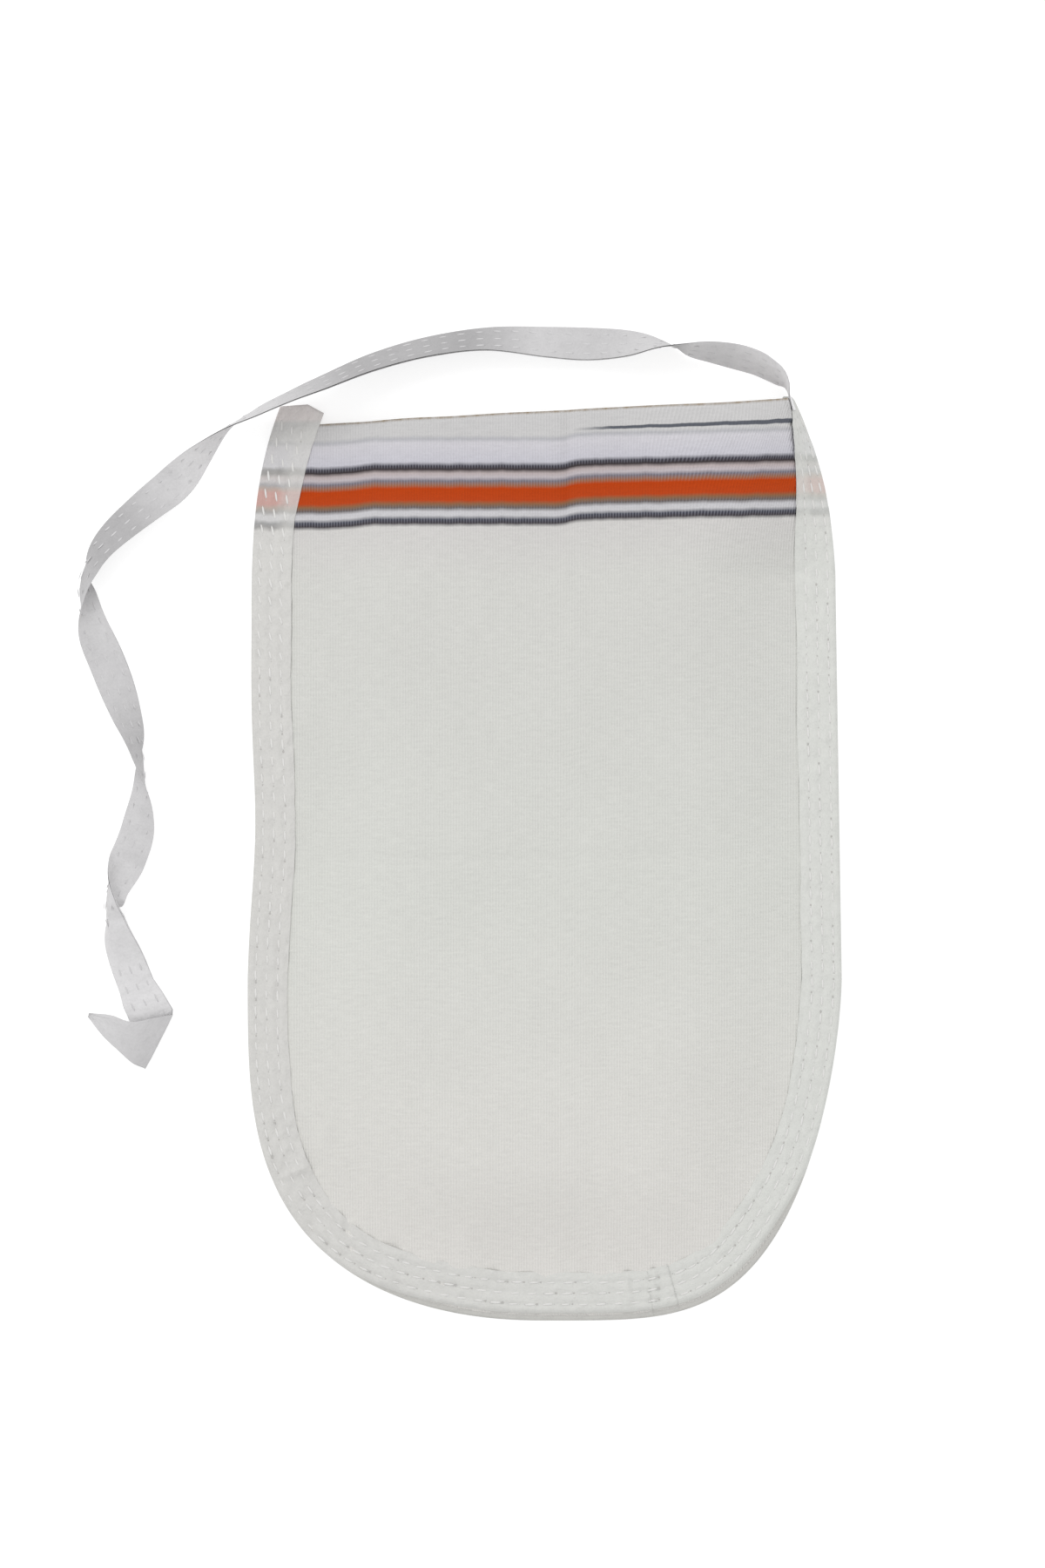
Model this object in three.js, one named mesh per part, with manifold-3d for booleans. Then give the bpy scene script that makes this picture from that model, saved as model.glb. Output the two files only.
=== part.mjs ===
// Woven bath mitt lying flat: two cloth panels sewn into an open pouch, bound round their edge by a
// folded tape. The tape runs on past the mouth as one long free strap.
// Millimetres. +Z is up, +Y points to the mouth, and the table is z = 0.
import * as THREE from 'three';
import { mergeVertices } from 'three/addons/utils/BufferGeometryUtils.js';
import Module from 'manifold-3d';

const wasm = await Module();
wasm.setup();

// Driving dimensions
const width = 152.4;
const length = 239.8;
const tapeWidth = 10;
const tapeThickness = 0.5;
const clothThickness = 1;
const threadThickness = 0.3;
const threadWidth = 0.8;
const gap = 0.3;
const pocketRise = 5.4;
const pocketShoulder = 30;
const rowInsets = { outer: 2, middle: 4.8, inner: 7.6 };
const strapWidth = 9.4;
const strapThickness = 0.6;
const strapSteps = 84;

// Outline of the pouch, seen from above
const halfWidth = width / 2;
const bottomY = -length / 2;
const sides = {
  left: {
    sign: -1, hipY: -32, flankPower: 2.2, endPower: 3.3, lean: 1.1, waist: 1.6,
    nip: 6.6, bend: 3, shoulderY: 58, topY: 112.6,
  },
  right: {
    sign: 1, hipY: -32, flankPower: 4, endPower: 1.6, lean: 1.6, waist: 0,
    nip: 12.5, bend: 2.3, shoulderY: 68, topY: length / 2,
  },
};
const waistY = 6;
const waistReach = 24;
const mouth = [[-68.4, 109.4], [-45, 110.4], [6, 113.4], [45, 115.9], [66, 117.2]];
const lapX = 34.8;
const leftMouthY = 109.4;
const rightMouthY = 116.8;
const narrowingY = 84;
const narrowTapeWidth = 1.9;
const stubLength = 3.6;
const stubSlope = 1.4;

// Heights of the layers along the seam, from the table up
const seam = {};
seam.backLeg = threadThickness + gap;
seam.backPanel = seam.backLeg + tapeThickness + gap;
seam.frontPanel = seam.backPanel + clothThickness + gap;
seam.frontLeg = seam.frontPanel + clothThickness + gap;
seam.needle = seam.frontLeg + tapeThickness + gap;
const seamTop = seam.needle - gap;

function sidePoint(side, y) {
  const leanShare = Math.min(1, (y - side.hipY) / (side.shoulderY - side.hipY));
  const bendShare = Math.max(0, (y - side.shoulderY) / (side.topY - side.shoulderY));
  const waist = side.waist * Math.exp(-(((y - waistY) / waistReach) ** 2));
  const inward = side.lean * leanShare + waist + side.nip * bendShare ** side.bend;
  return new THREE.Vector2(side.sign * (halfWidth - inward), y);
}

function bottomPoint(angle) {
  const side = Math.cos(angle) < 0 ? sides.left : sides.right;
  const reach = Math.abs(Math.cos(angle));
  const fall = (1 - reach ** side.flankPower) ** (1 / side.endPower);
  return new THREE.Vector2(side.sign * reach * halfWidth, side.hipY - fall * (side.hipY - bottomY));
}

function steps(count, from, to) {
  return Array.from({ length: count + 1 }, (_, i) => THREE.MathUtils.lerp(from, to, i / count));
}

const rim = new THREE.SplineCurve([
  ...steps(10, sides.left.topY, sides.left.hipY).slice(0, -1).map((y) => sidePoint(sides.left, y)),
  ...steps(32, Math.PI, 2 * Math.PI).map(bottomPoint),
  ...steps(10, sides.right.hipY, sides.right.topY).slice(1).map((y) => sidePoint(sides.right, y)),
]);
rim.arcLengthDivisions = 800;

function rimPoint(share, inset) {
  const tangent = rim.getTangentAt(share);
  return rim.getPointAt(share).add(new THREE.Vector2(-tangent.y, tangent.x).multiplyScalar(inset));
}

function rimShare(reached) {
  return steps(1000, 0, 1).find((share) => reached(rim.getPointAt(share)));
}

const share = {
  leftMouth: rimShare((p) => p.x < 0 && p.y < leftMouthY),
  lap: rimShare((p) => p.x > lapX && p.y < sides.right.hipY),
  narrowing: rimShare((p) => p.x > 0 && p.y > narrowingY),
  rightMouth: rimShare((p) => p.x > 0 && p.y > rightMouthY),
};

function tapeInset(at) {
  const along = THREE.MathUtils.clamp((at - share.narrowing) / (share.rightMouth - share.narrowing), 0, 1);
  return THREE.MathUtils.lerp(tapeWidth, narrowTapeWidth, along);
}

// Band between two insets of the rim; an inset is a number or a function of the share along the rim
function bandShape(from, to, outer, inner, count) {
  const at = (inset, s) => rimPoint(s, typeof inset === 'function' ? inset(s) : inset);
  const shares = steps(count, from, to);
  return new THREE.Shape([...shares.map((s) => at(outer, s)), ...shares.reverse().map((s) => at(inner, s))]);
}

function slab(shape, low, thickness) {
  const geometry = new THREE.ExtrudeGeometry(shape, { depth: thickness, bevelEnabled: false });
  return geometry.translate(0, 0, low);
}

function toSolid(geometry) {
  const plain = geometry.clone();
  plain.deleteAttribute('normal');
  plain.deleteAttribute('uv');
  const merged = mergeVertices(plain, 1e-4);
  return new wasm.Manifold(new wasm.Mesh({
    numProp: 3,
    vertProperties: Float32Array.from(merged.attributes.position.array),
    triVerts: Uint32Array.from(merged.index.array),
  }));
}

function toGeometry(solid) {
  const { vertProperties, triVerts } = solid.getMesh();
  const geometry = new THREE.BufferGeometry();
  geometry.setAttribute('position', new THREE.BufferAttribute(Float32Array.from(vertProperties), 3));
  geometry.setIndex(new THREE.BufferAttribute(Uint32Array.from(triVerts), 1));
  geometry.computeVertexNormals();
  return geometry;
}

// Panels: a thin slab whose height follows the pocket, cut to the outline
const mouthCurve = new THREE.SplineCurve(mouth.map(([x, y]) => new THREE.Vector2(x, y)));
const clothInset = tapeThickness + gap;
const seamLine = steps(120, 0, share.rightMouth).map((s) => rimPoint(s, 0));

function pocketShare(x, y) {
  const here = new THREE.Vector2(x, y);
  const fromEdge = Math.min(...seamLine.map((p) => p.distanceTo(here)));
  return THREE.MathUtils.smoothstep(fromEdge, tapeWidth + 1, tapeWidth + 1 + pocketShoulder);
}

function panel(edgeHeight, middleHeight) {
  const cell = 8.4;
  const sheet = new THREE.BoxGeometry(
    width, length, 1, Math.round(width / cell), Math.round(length / cell), 1,
  );
  const position = sheet.attributes.position;
  for (let i = 0; i < position.count; i += 1) {
    const rise = pocketShare(position.getX(i), position.getY(i));
    const low = THREE.MathUtils.lerp(edgeHeight, middleHeight, rise);
    position.setZ(i, low + (position.getZ(i) > 0 ? clothThickness : 0));
  }
  const edge = steps(90, share.leftMouth, share.rightMouth).map((s) => rimPoint(s, clothInset));
  const opening = mouthCurve.getPoints(12).reverse().filter((p) => p.x < edge.at(-1).x && p.x > edge[0].x);
  const outline = toSolid(slab(new THREE.Shape([...edge, ...opening]), -1, seamTop + pocketRise + 2));
  return toGeometry(toSolid(sheet).intersect(outline));
}

// Binding: a tape folded round the seam, open towards the pocket as far as openTo
function channel(from, to, openTo, count) {
  const whole = slab(bandShape(from, to, 0, tapeInset, count), seam.backLeg, seamTop - seam.backLeg);
  const slotHeight = seam.frontLeg - seam.backLeg - tapeThickness;
  const slot = slab(
    bandShape(Math.max(0, from - 0.001), openTo, tapeThickness, tapeWidth + 2, count),
    seam.backLeg + tapeThickness, slotHeight,
  );
  return toSolid(whole).subtract(toSolid(slot));
}

// End of the tape above the left corner of the mouth: its two legs closed on each other
function stub() {
  const lean = rim.getTangentAt(0);
  const middle = (seam.backLeg + seamTop) / 2;
  const half = (seamTop - seam.backLeg) / 2;
  const profile = new THREE.Shape([
    new THREE.Vector2(0, middle - half),
    new THREE.Vector2(stubSlope, middle - tapeThickness),
    new THREE.Vector2(stubLength, middle - tapeThickness),
    new THREE.Vector2(stubLength, middle + tapeThickness),
    new THREE.Vector2(stubSlope, middle + tapeThickness),
    new THREE.Vector2(0, middle + half),
  ]);
  const block = new THREE.ExtrudeGeometry(profile, { depth: tapeWidth, bevelEnabled: false });
  const along = new THREE.Vector3(-lean.x, -lean.y, 0);
  const up = new THREE.Vector3(0, 0, 1);
  const across = new THREE.Vector3().crossVectors(along, up);
  block.applyMatrix4(new THREE.Matrix4().makeBasis(along, up, across));
  const corner = rim.getPointAt(0).addScaledVector(new THREE.Vector2(-along.x, -along.y), 0.05);
  return toSolid(block.translate(corner.x, corner.y, 0));
}

const lapGap = 0.3 / rim.getLength();

function bindingLeft() {
  const end = share.lap - lapGap;
  return toGeometry(channel(0, end, end + 0.001, 90).add(stub()));
}

// Past the right corner of the mouth the tape stands on edge and is solid
function bindingRight() {
  return toGeometry(channel(share.lap + lapGap, 1, share.rightMouth + 0.005, 66));
}

function threadRow(inset, low) {
  const half = threadWidth / 2;
  const end = inset + half < narrowTapeWidth + 1 ? share.rightMouth : share.narrowing;
  return slab(bandShape(share.leftMouth, end, inset - half, inset + half, 72), low, threadThickness);
}

// Strap: [x, y, clearance under it, turn of the tape about its own length in degrees]
const strapRoute = [
  [61.9, 120.5, 0.6, 80],
  [60.0, 121.9, 0.6, 68],
  [57.4, 123.7, 0.5, 60],
  [54.2, 125.5, 0.4, 54],
  [49.1, 127.1, 0.2, 52],
  [42.9, 128.3, 0.2, 60],
  [37.7, 128.9, 0.2, 72],
  [33.9, 129.7, 0.2, 90],
  [29.0, 130.4, 0.2, 110],
  [21.6, 130.6, 0.2, 140],
  [11.1, 130.6, 0.2, 158],
  [1.0, 131.0, 0.2, 152],
  [-15.1, 131.8, 0.2, 134],
  [-30.3, 129.8, 0.4, 128],
  [-44.2, 125.8, 1.5, 124],
  [-57.2, 120.0, 3.6, 118],
  [-65.0, 116.6, 4.2, 112],
  [-73.6, 112.9, 2.6, 107],
  [-81.4, 108.8, 0.8, 90],
  [-89.0, 101.8, 0.2, 52],
  [-95.2, 95.0, 0.2, 8],
  [-102.4, 88.8, 0.2, -18],
  [-109.9, 82.2, 0.2, -34],
  [-116.6, 75.2, 0.2, -56],
  [-119.3, 69.0, 0.2, -90],
  [-118.0, 62.0, 0.2, -132],
  [-112.4, 49.1, 0.2, -172],
  [-107.2, 35.7, 0.2, -140],
  [-102.6, 23.2, 0.2, -90],
  [-104.0, 7.7, 0.2, -26],
  [-107.3, -2.0, 0.2, 0],
  [-111.8, -9.5, 0.2, 50],
  [-112.3, -17.0, 0.2, 120],
  [-107.9, -26.5, 0.2, 165],
  [-104.6, -34.5, 0.2, 180],
  [-102.6, -43.0, 0.2, 180],
];
// The last stretch turns back beside the strap and ends raw
const strapEnd = [
  [-104.7, -49.6, 0.2, 180],
  [-110.2, -52.0, 0.2, 180],
  [-115.6, -49.6, 0.2, 180],
  [-117.8, -44.0, 0.2, 180],
];

function strap() {
  const route = [...strapRoute, ...strapEnd];
  const line = new THREE.CatmullRomCurve3(route.map(([x, y, low]) => new THREE.Vector3(x, y, low)));
  const turns = new THREE.SplineCurve(route.map((stop, i) => new THREE.Vector2(i, stop[3])));
  const ribbon = new THREE.BoxGeometry(strapWidth, 1, strapThickness, 1, strapSteps, 1);
  const position = ribbon.attributes.position;
  const up = new THREE.Vector3(0, 0, 1);
  for (let i = 0; i < position.count; i += 1) {
    const along = position.getY(i) + 0.5;
    const turn = THREE.MathUtils.degToRad(turns.getPoint(along).y);
    const level = new THREE.Vector3().crossVectors(line.getTangent(along), up).normalize();
    const across = level.multiplyScalar(Math.cos(turn)).addScaledVector(up, Math.sin(turn));
    const face = new THREE.Vector3().crossVectors(across, line.getTangent(along)).normalize();
    const lift = (Math.abs(Math.sin(turn)) * strapWidth + strapThickness) / 2;
    const point = line.getPoint(along).addScaledVector(up, lift);
    point.addScaledVector(across, position.getX(i)).addScaledVector(face, position.getZ(i));
    position.setXYZ(i, point.x, point.y, point.z);
  }
  ribbon.computeVertexNormals();
  return ribbon;
}

// Finishes
const clothMaterial = new THREE.MeshStandardMaterial({ color: 0xdedcd6, roughness: 0.95, metalness: 0 });
const tapeMaterial = new THREE.MeshStandardMaterial({ color: 0xd9d7d3, roughness: 0.9, metalness: 0 });
const threadMaterial = new THREE.MeshStandardMaterial({ color: 0xf2f1ee, roughness: 0.7, metalness: 0 });

const mitt = new THREE.Group();

function addPiece(name, geometry, material) {
  const piece = new THREE.Mesh(geometry, material);
  piece.name = name;
  mitt.add(piece);
}

addPiece('back_panel', panel(seam.backPanel, 0), clothMaterial);
addPiece('front_panel', panel(seam.frontPanel, seam.frontPanel + pocketRise), clothMaterial);
addPiece('binding_left', bindingLeft(), tapeMaterial);
addPiece('binding_right', bindingRight(), tapeMaterial);
for (const [row, inset] of Object.entries(rowInsets)) {
  addPiece(`needle_thread_${row}`, threadRow(inset, seam.needle), threadMaterial);
  addPiece(`bobbin_thread_${row}`, threadRow(inset, 0), threadMaterial);
}
addPiece('strap', strap(), tapeMaterial);

export default mitt;
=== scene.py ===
"""Woven bath mitt with a free strap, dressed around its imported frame.

Two panels of striped cloth make a flat open pouch. A folded tape binds their edge, three rows of
stitches hold it, and past the mouth the tape runs on as a long twisted strap. Everything is in
metres, +Z up, +Y towards the mouth, and the table is z = 0.
"""

from __future__ import annotations

import logging
import math
from dataclasses import dataclass, field
from enum import Enum

import bpy
import numpy as np
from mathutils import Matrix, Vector, noise
from mathutils.kdtree import KDTree


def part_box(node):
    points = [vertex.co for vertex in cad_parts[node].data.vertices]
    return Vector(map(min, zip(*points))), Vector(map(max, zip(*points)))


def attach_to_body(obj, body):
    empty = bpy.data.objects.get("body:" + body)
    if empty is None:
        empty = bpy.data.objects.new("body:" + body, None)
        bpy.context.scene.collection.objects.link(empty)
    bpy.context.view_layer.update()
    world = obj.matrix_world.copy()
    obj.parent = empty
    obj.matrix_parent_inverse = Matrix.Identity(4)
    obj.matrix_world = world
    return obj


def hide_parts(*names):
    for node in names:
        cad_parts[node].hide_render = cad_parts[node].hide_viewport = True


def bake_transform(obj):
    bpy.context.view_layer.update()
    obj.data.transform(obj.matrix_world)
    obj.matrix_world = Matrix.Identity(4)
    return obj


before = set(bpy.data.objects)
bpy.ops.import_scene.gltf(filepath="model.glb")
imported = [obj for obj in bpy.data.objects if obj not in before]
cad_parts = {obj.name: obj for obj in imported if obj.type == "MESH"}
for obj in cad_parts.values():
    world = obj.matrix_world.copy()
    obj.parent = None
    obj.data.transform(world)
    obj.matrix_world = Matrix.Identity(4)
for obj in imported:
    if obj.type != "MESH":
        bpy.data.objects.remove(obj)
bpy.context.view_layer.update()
LOG = logging.getLogger("bath_mitt")
MM = 0.001
CLOTH_PLACE = "cloth_place"


class Side(Enum):
    """Which way a layer of the seam faces."""

    FRONT = 1
    BACK = -1


def smoothstep(value: np.ndarray, low: float, high: float) -> np.ndarray:
    """Rise smoothly from 0 at low to 1 at high.

    Args:
        value: The numbers to map.
        low: Where the result leaves 0.
        high: Where the result reaches 1.

    Returns:
        The share, from 0 to 1.
    """
    share = np.clip((np.asarray(value, float) - low) / (high - low), 0, 1)
    return share * share * (3 - 2 * share)


def ripple(x: np.ndarray, y: np.ndarray, seed: float) -> np.ndarray:
    """Give smooth noise at points of a plane.

    Args:
        x: First coordinate, one unit to a swell.
        y: Second coordinate.
        seed: Third coordinate, which picks the pattern.

    Returns:
        Values from about -1 to 1, shaped as x.
    """
    x, y = np.broadcast_arrays(np.asarray(x, float), np.asarray(y, float))
    flat = [noise.noise(Vector((a, b, seed))) for a, b in zip(x.ravel(), y.ravel())]
    return np.array(flat).reshape(x.shape)


@dataclass(frozen=True)
class Swell:
    """Smooth unevenness, with its height, its reach in two directions and its pattern."""

    height: float
    reach_x: float
    reach_y: float
    seed: float

    def at(self, x: np.ndarray, y: np.ndarray | float = 0.0) -> np.ndarray:
        """Give its height at points of a plane."""
        return self.height * ripple(x / self.reach_x, y / self.reach_y, self.seed)


def srgb(red: int, green: int, blue: int) -> tuple[float, float, float, float]:
    """Turn a colour of 0 to 255 into a linear one.

    Args:
        red: Red as shown on a screen.
        green: Green.
        blue: Blue.

    Returns:
        The linear colour with full alpha.
    """
    channels = (red / 255, green / 255, blue / 255)
    linear = [c / 12.92 if c <= 0.04045 else ((c + 0.055) / 1.055) ** 2.4 for c in channels]
    return (*linear, 1.0)


# ---------------------------------------------------------------- outline of the pouch


@dataclass(frozen=True)
class Flank:
    """One long side of the pouch.

    The side leans in a little from the hip to the shoulder, then nips in towards the mouth.
    """

    sign: int
    hip_y: float
    flank_power: float
    end_power: float
    lean: float
    waist: float
    nip: float
    bend: float
    shoulder_y: float
    top_y: float


@dataclass
class Rim:
    """Outer edge of the pouch, from the left corner of the mouth round to the right one."""

    half_width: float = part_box("binding_right")[1].x
    bottom_y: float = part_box("binding_left")[0].y
    top_y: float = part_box("binding_right")[1].y
    waist_y: float = 6 * MM
    waist_reach: float = 24 * MM
    flank_samples: int = 400
    end_samples: int = 1800
    samples: int = 2400
    left: Flank = field(init=False)
    right: Flank = field(init=False)

    def __post_init__(self) -> None:
        """Lay the samples along the edge at equal steps."""
        self.left = Flank(
            sign=-1, hip_y=-32 * MM, flank_power=2.2, end_power=3.3, lean=1.1 * MM, waist=1.6 * MM,
            nip=6.6 * MM, bend=3, shoulder_y=58 * MM, top_y=112.6 * MM,
        )
        self.right = Flank(
            sign=1, hip_y=-32 * MM, flank_power=4, end_power=1.6, lean=1.6 * MM, waist=0,
            nip=12.5 * MM, bend=2.3, shoulder_y=68 * MM, top_y=self.top_y,
        )
        angles = np.linspace(math.pi, 2 * math.pi, self.end_samples)
        left_y = np.linspace(self.left.top_y, self.left.hip_y, self.flank_samples)
        right_y = np.linspace(self.right.hip_y, self.right.top_y, self.flank_samples)
        parts = [
            self.flank_points(self.left, left_y)[:-1],
            np.array([self.end_point(angle) for angle in angles]),
            self.flank_points(self.right, right_y)[1:],
        ]
        line = np.concatenate(parts)
        along = np.concatenate([[0], np.cumsum(np.linalg.norm(np.diff(line, axis=0), axis=1))])
        self.length = float(along[-1])
        even = np.linspace(0, self.length, self.samples)
        self.points = np.stack([np.interp(even, along, line[:, k]) for k in (0, 1)], axis=1)
        tangent = np.gradient(self.points, axis=0)
        tangent /= np.linalg.norm(tangent, axis=1)[:, None]
        self.inward = np.stack([-tangent[:, 1], tangent[:, 0]], axis=1)
        self.shares = np.linspace(0, 1, self.samples)
        self.tree = KDTree(self.samples)
        for index, (x, y) in enumerate(self.points):
            self.tree.insert((x, y, 0), index)
        self.tree.balance()

    def flank_points(self, flank: Flank, y: np.ndarray) -> np.ndarray:
        """Give the points of a long side at the heights y.

        Args:
            flank: Which side.
            y: The heights in the plane.

        Returns:
            Points with a last axis of 2.
        """
        lean = np.minimum(1, (y - flank.hip_y) / (flank.shoulder_y - flank.hip_y))
        nip = np.maximum(0, (y - flank.shoulder_y) / (flank.top_y - flank.shoulder_y))
        dip, dip_at_hip = (
            np.exp(-(((at - self.waist_y) / self.waist_reach) ** 2)) for at in (y, flank.hip_y)
        )
        waist = flank.waist * (dip - dip_at_hip)
        inset = flank.lean * lean + waist + flank.nip * nip**flank.bend
        return np.stack([flank.sign * (self.half_width - inset), y], axis=1)

    def end_point(self, angle: float) -> tuple[float, float]:
        """Give the point of the closed round end at an angle.

        Args:
            angle: The angle round the end, from pi at the left to twice pi.

        Returns:
            The x and y.
        """
        flank = self.left if math.cos(angle) < 0 else self.right
        reach = min(1, abs(math.cos(angle)))
        fall = (1 - reach**flank.flank_power) ** (1 / flank.end_power)
        return flank.sign * reach * self.half_width, flank.hip_y - fall * (flank.hip_y - self.bottom_y)

    def at(self, share: np.ndarray) -> tuple[np.ndarray, np.ndarray]:
        """Give the edge's points and inward normals.

        Args:
            share: Places along the edge, from 0 to 1.

        Returns:
            Points and unit normals, each with a last axis of 2.
        """
        share = np.asarray(share, float)
        place, inward = (
            np.stack([np.interp(share, self.shares, data[:, k]) for k in (0, 1)], axis=-1)
            for data in (self.points, self.inward)
        )
        return place, inward

    def line(self, share: np.ndarray) -> tuple[np.ndarray, np.ndarray]:
        """Give the x and y of places along the edge."""
        place, _ = self.at(share)
        return place[..., 0], place[..., 1]

    def share_where(self, reached: np.ndarray) -> float:
        """Give the first place along the edge at which a test of its samples holds."""
        return float(self.shares[int(np.argmax(reached))])

    def nearest(self, points: np.ndarray) -> tuple[np.ndarray, np.ndarray]:
        """Give the place along the edge and the inset of points in the plane.

        Args:
            points: Points with a last axis of 2.

        Returns:
            The share along the edge and the distance in from it.
        """
        flat = points.reshape(-1, 2)
        found = np.array([self.tree.find((x, y, 0))[1] for x, y in flat])
        inset = ((flat - self.points[found]) * self.inward[found]).sum(1)
        return self.shares[found].reshape(points.shape[:-1]), inset.reshape(points.shape[:-1])


RIM = Rim()
TAPE_WIDTH = 10 * MM
TAPE_THICKNESS = 0.22 * MM
CLOTH_THICKNESS = 0.8 * MM
STITCH_PITCH = 4.6 * MM
ROW_INSETS = {"outer": 2.0 * MM, "middle": 4.8 * MM, "inner": 7.6 * MM}
BACK_TAPE_Z = 0.3 * MM
BACK_CLOTH_Z = 0.95 * MM
FRONT_CLOTH_Z = 1.85 * MM
FRONT_TAPE_Z = 2.42 * MM
POCKET_TOP_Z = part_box("front_panel")[1].z - CLOTH_THICKNESS
POCKET_SHOULDER = 30 * MM
ROLL_FROM_Y = 72 * MM
ROLL_FULL = math.radians(80)
ROLL_REACH = 32 * MM
LEAST_INWARD = 0.5


def roll_angle(share: np.ndarray) -> np.ndarray:
    """Give how far the seam has rolled up on edge, near the corner that the strap leaves.

    Args:
        share: Places along the rim.

    Returns:
        The angles.
    """
    x, y = RIM.line(share)
    rolled = ROLL_FULL * np.clip((y - ROLL_FROM_Y) / (RIM.top_y - ROLL_FROM_Y), 0, 1)
    return np.where(x > 0, rolled, 0)


def seam_place(share: np.ndarray, inset: np.ndarray, height: np.ndarray) -> np.ndarray:
    """Place points of the seam, rolled up with its corner.

    Args:
        share: Places along the rim.
        inset: Distances in from the rim, on the flat seam.
        height: Heights above the table, on the flat seam.

    Returns:
        Points with a last axis of 3.
    """
    share, inset, height = np.broadcast_arrays(share, inset, height)
    base, inward = RIM.at(share)
    angle = roll_angle(share)
    near = np.minimum(inset, TAPE_WIDTH)
    fade = 1 - smoothstep(inset - TAPE_WIDTH, 0, ROLL_REACH)
    outward = (near - near * np.cos(angle) + (height - FRONT_TAPE_Z) * np.sin(angle)) * fade
    up = np.where(inset > TAPE_WIDTH, 1.0, np.cos(angle))
    x = base[..., 0] + inward[..., 0] * inset + outward / np.maximum(LEAST_INWARD, np.abs(inward[..., 0]))
    y = base[..., 1] + inward[..., 1] * inset
    z = height * (1 + (up - 1) * fade) + near * np.sin(angle) * fade
    return np.stack([x, y, z], axis=-1)


@dataclass(frozen=True)
class StripeLine:
    """Where the first dark stripe starts: it steps up twice and then slopes, from left to right."""

    left_y: float = 98.9
    left_step: float = 0.75
    left_span: tuple[float, float] = (-53 * MM, -43 * MM)
    crease_step: float = 1.15
    crease_span: tuple[float, float] = (3 * MM, 10.5 * MM)
    slope: float = 0.024
    slope_from: float = 8

    def at(self, x: np.ndarray) -> np.ndarray:
        """Give the stripe's y at each x.

        Args:
            x: Where to look.

        Returns:
            The stripe's y.
        """
        steps = self.left_step * smoothstep(x, *self.left_span)
        steps = steps + self.crease_step * smoothstep(x, *self.crease_span)
        return (self.left_y + steps + self.slope * np.maximum(0, x / MM - self.slope_from)) * MM


STRIPE_LINE = StripeLine()


def cloth_places(points: np.ndarray, depth: np.ndarray) -> np.ndarray:
    """Give where points lie on the cloth, in millimetres.

    Args:
        points: Points of the cloth, with a last axis of 2 or more.
        depth: Distance in from the piece's own edge.

    Returns:
        Across the cloth, down from the first dark stripe, and in from the edge.
    """
    down = STRIPE_LINE.at(points[..., 0]) - points[..., 1]
    return np.stack([points[..., 0], down, np.broadcast_to(depth, down.shape)], axis=-1) / MM


# ---------------------------------------------------------------- meshes


def link(name: str, mesh: bpy.types.Mesh) -> bpy.types.Object:
    """Put a mesh in the scene as an object, with smooth faces.

    Args:
        name: The piece's name.
        mesh: Its mesh.

    Returns:
        The new object.
    """
    mesh.name = name
    for face in mesh.polygons:
        face.use_smooth = True
    piece = bpy.data.objects.new(name, mesh)
    bpy.context.scene.collection.objects.link(piece)
    return piece


def write_places(mesh: bpy.types.Mesh, places: np.ndarray) -> None:
    """Store one vector for each point of a mesh, for its material to read.

    Args:
        mesh: The mesh.
        places: One vector for each of its points.
    """
    attribute = mesh.attributes.new(CLOTH_PLACE, "FLOAT_VECTOR", "POINT")
    attribute.data.foreach_set("vector", places.reshape(-1).astype(np.float32))


def grid_faces(rows: int, columns: int, ring: bool = False) -> list[tuple[int, int, int, int]]:
    """List the faces of a grid of points.

    Args:
        rows: Points along the first axis.
        columns: Points along the second axis.
        ring: Whether the second axis closes on itself.

    Returns:
        Faces as indices, turning left as seen with rows going down and columns going right.
    """
    last = columns if ring else columns - 1
    return [
        (r * columns + c, (r + 1) * columns + c, (r + 1) * columns + (c + 1) % columns,
         r * columns + (c + 1) % columns)
        for r in range(rows - 1)
        for c in range(last)
    ]


def sheet_mesh(name: str, points: np.ndarray, places: np.ndarray) -> bpy.types.Object:
    """Make a piece from a grid of points.

    Args:
        name: The piece's name.
        points: Array of rows, columns and 3.
        places: Where each point lies on the cloth, shaped as points.

    Returns:
        The new object.
    """
    rows, columns = points.shape[:2]
    mesh = bpy.data.meshes.new(name)
    mesh.from_pydata(points.reshape(-1, 3).tolist(), [], grid_faces(rows, columns))
    write_places(mesh, places)
    return link(name, mesh)


def thicken(piece: bpy.types.Object, thickness: float) -> None:
    """Give a sheet its thickness, half on each side.

    Args:
        piece: The sheet.
        thickness: How thick it gets.
    """
    solid = piece.modifiers.new("thickness", "SOLIDIFY")
    solid.thickness = thickness
    solid.offset = 0
    solid.use_rim = True


def attach(piece: bpy.types.Object, body: str, slot: str, *nodes: str) -> None:
    """Let a piece ride on a body and hide the CAD nodes it stands for.

    Args:
        piece: The piece.
        body: The body it rides on.
        slot: Not used.
        nodes: The CAD nodes it stands for.
    """
    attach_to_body(piece, body)
    if nodes:
        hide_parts(*nodes)
    LOG.info("built %s with %d points", piece.name, len(piece.data.vertices))


# ---------------------------------------------------------------- finishes


NOISE_LOW = 0.3
NOISE_HIGH = 0.7


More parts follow.
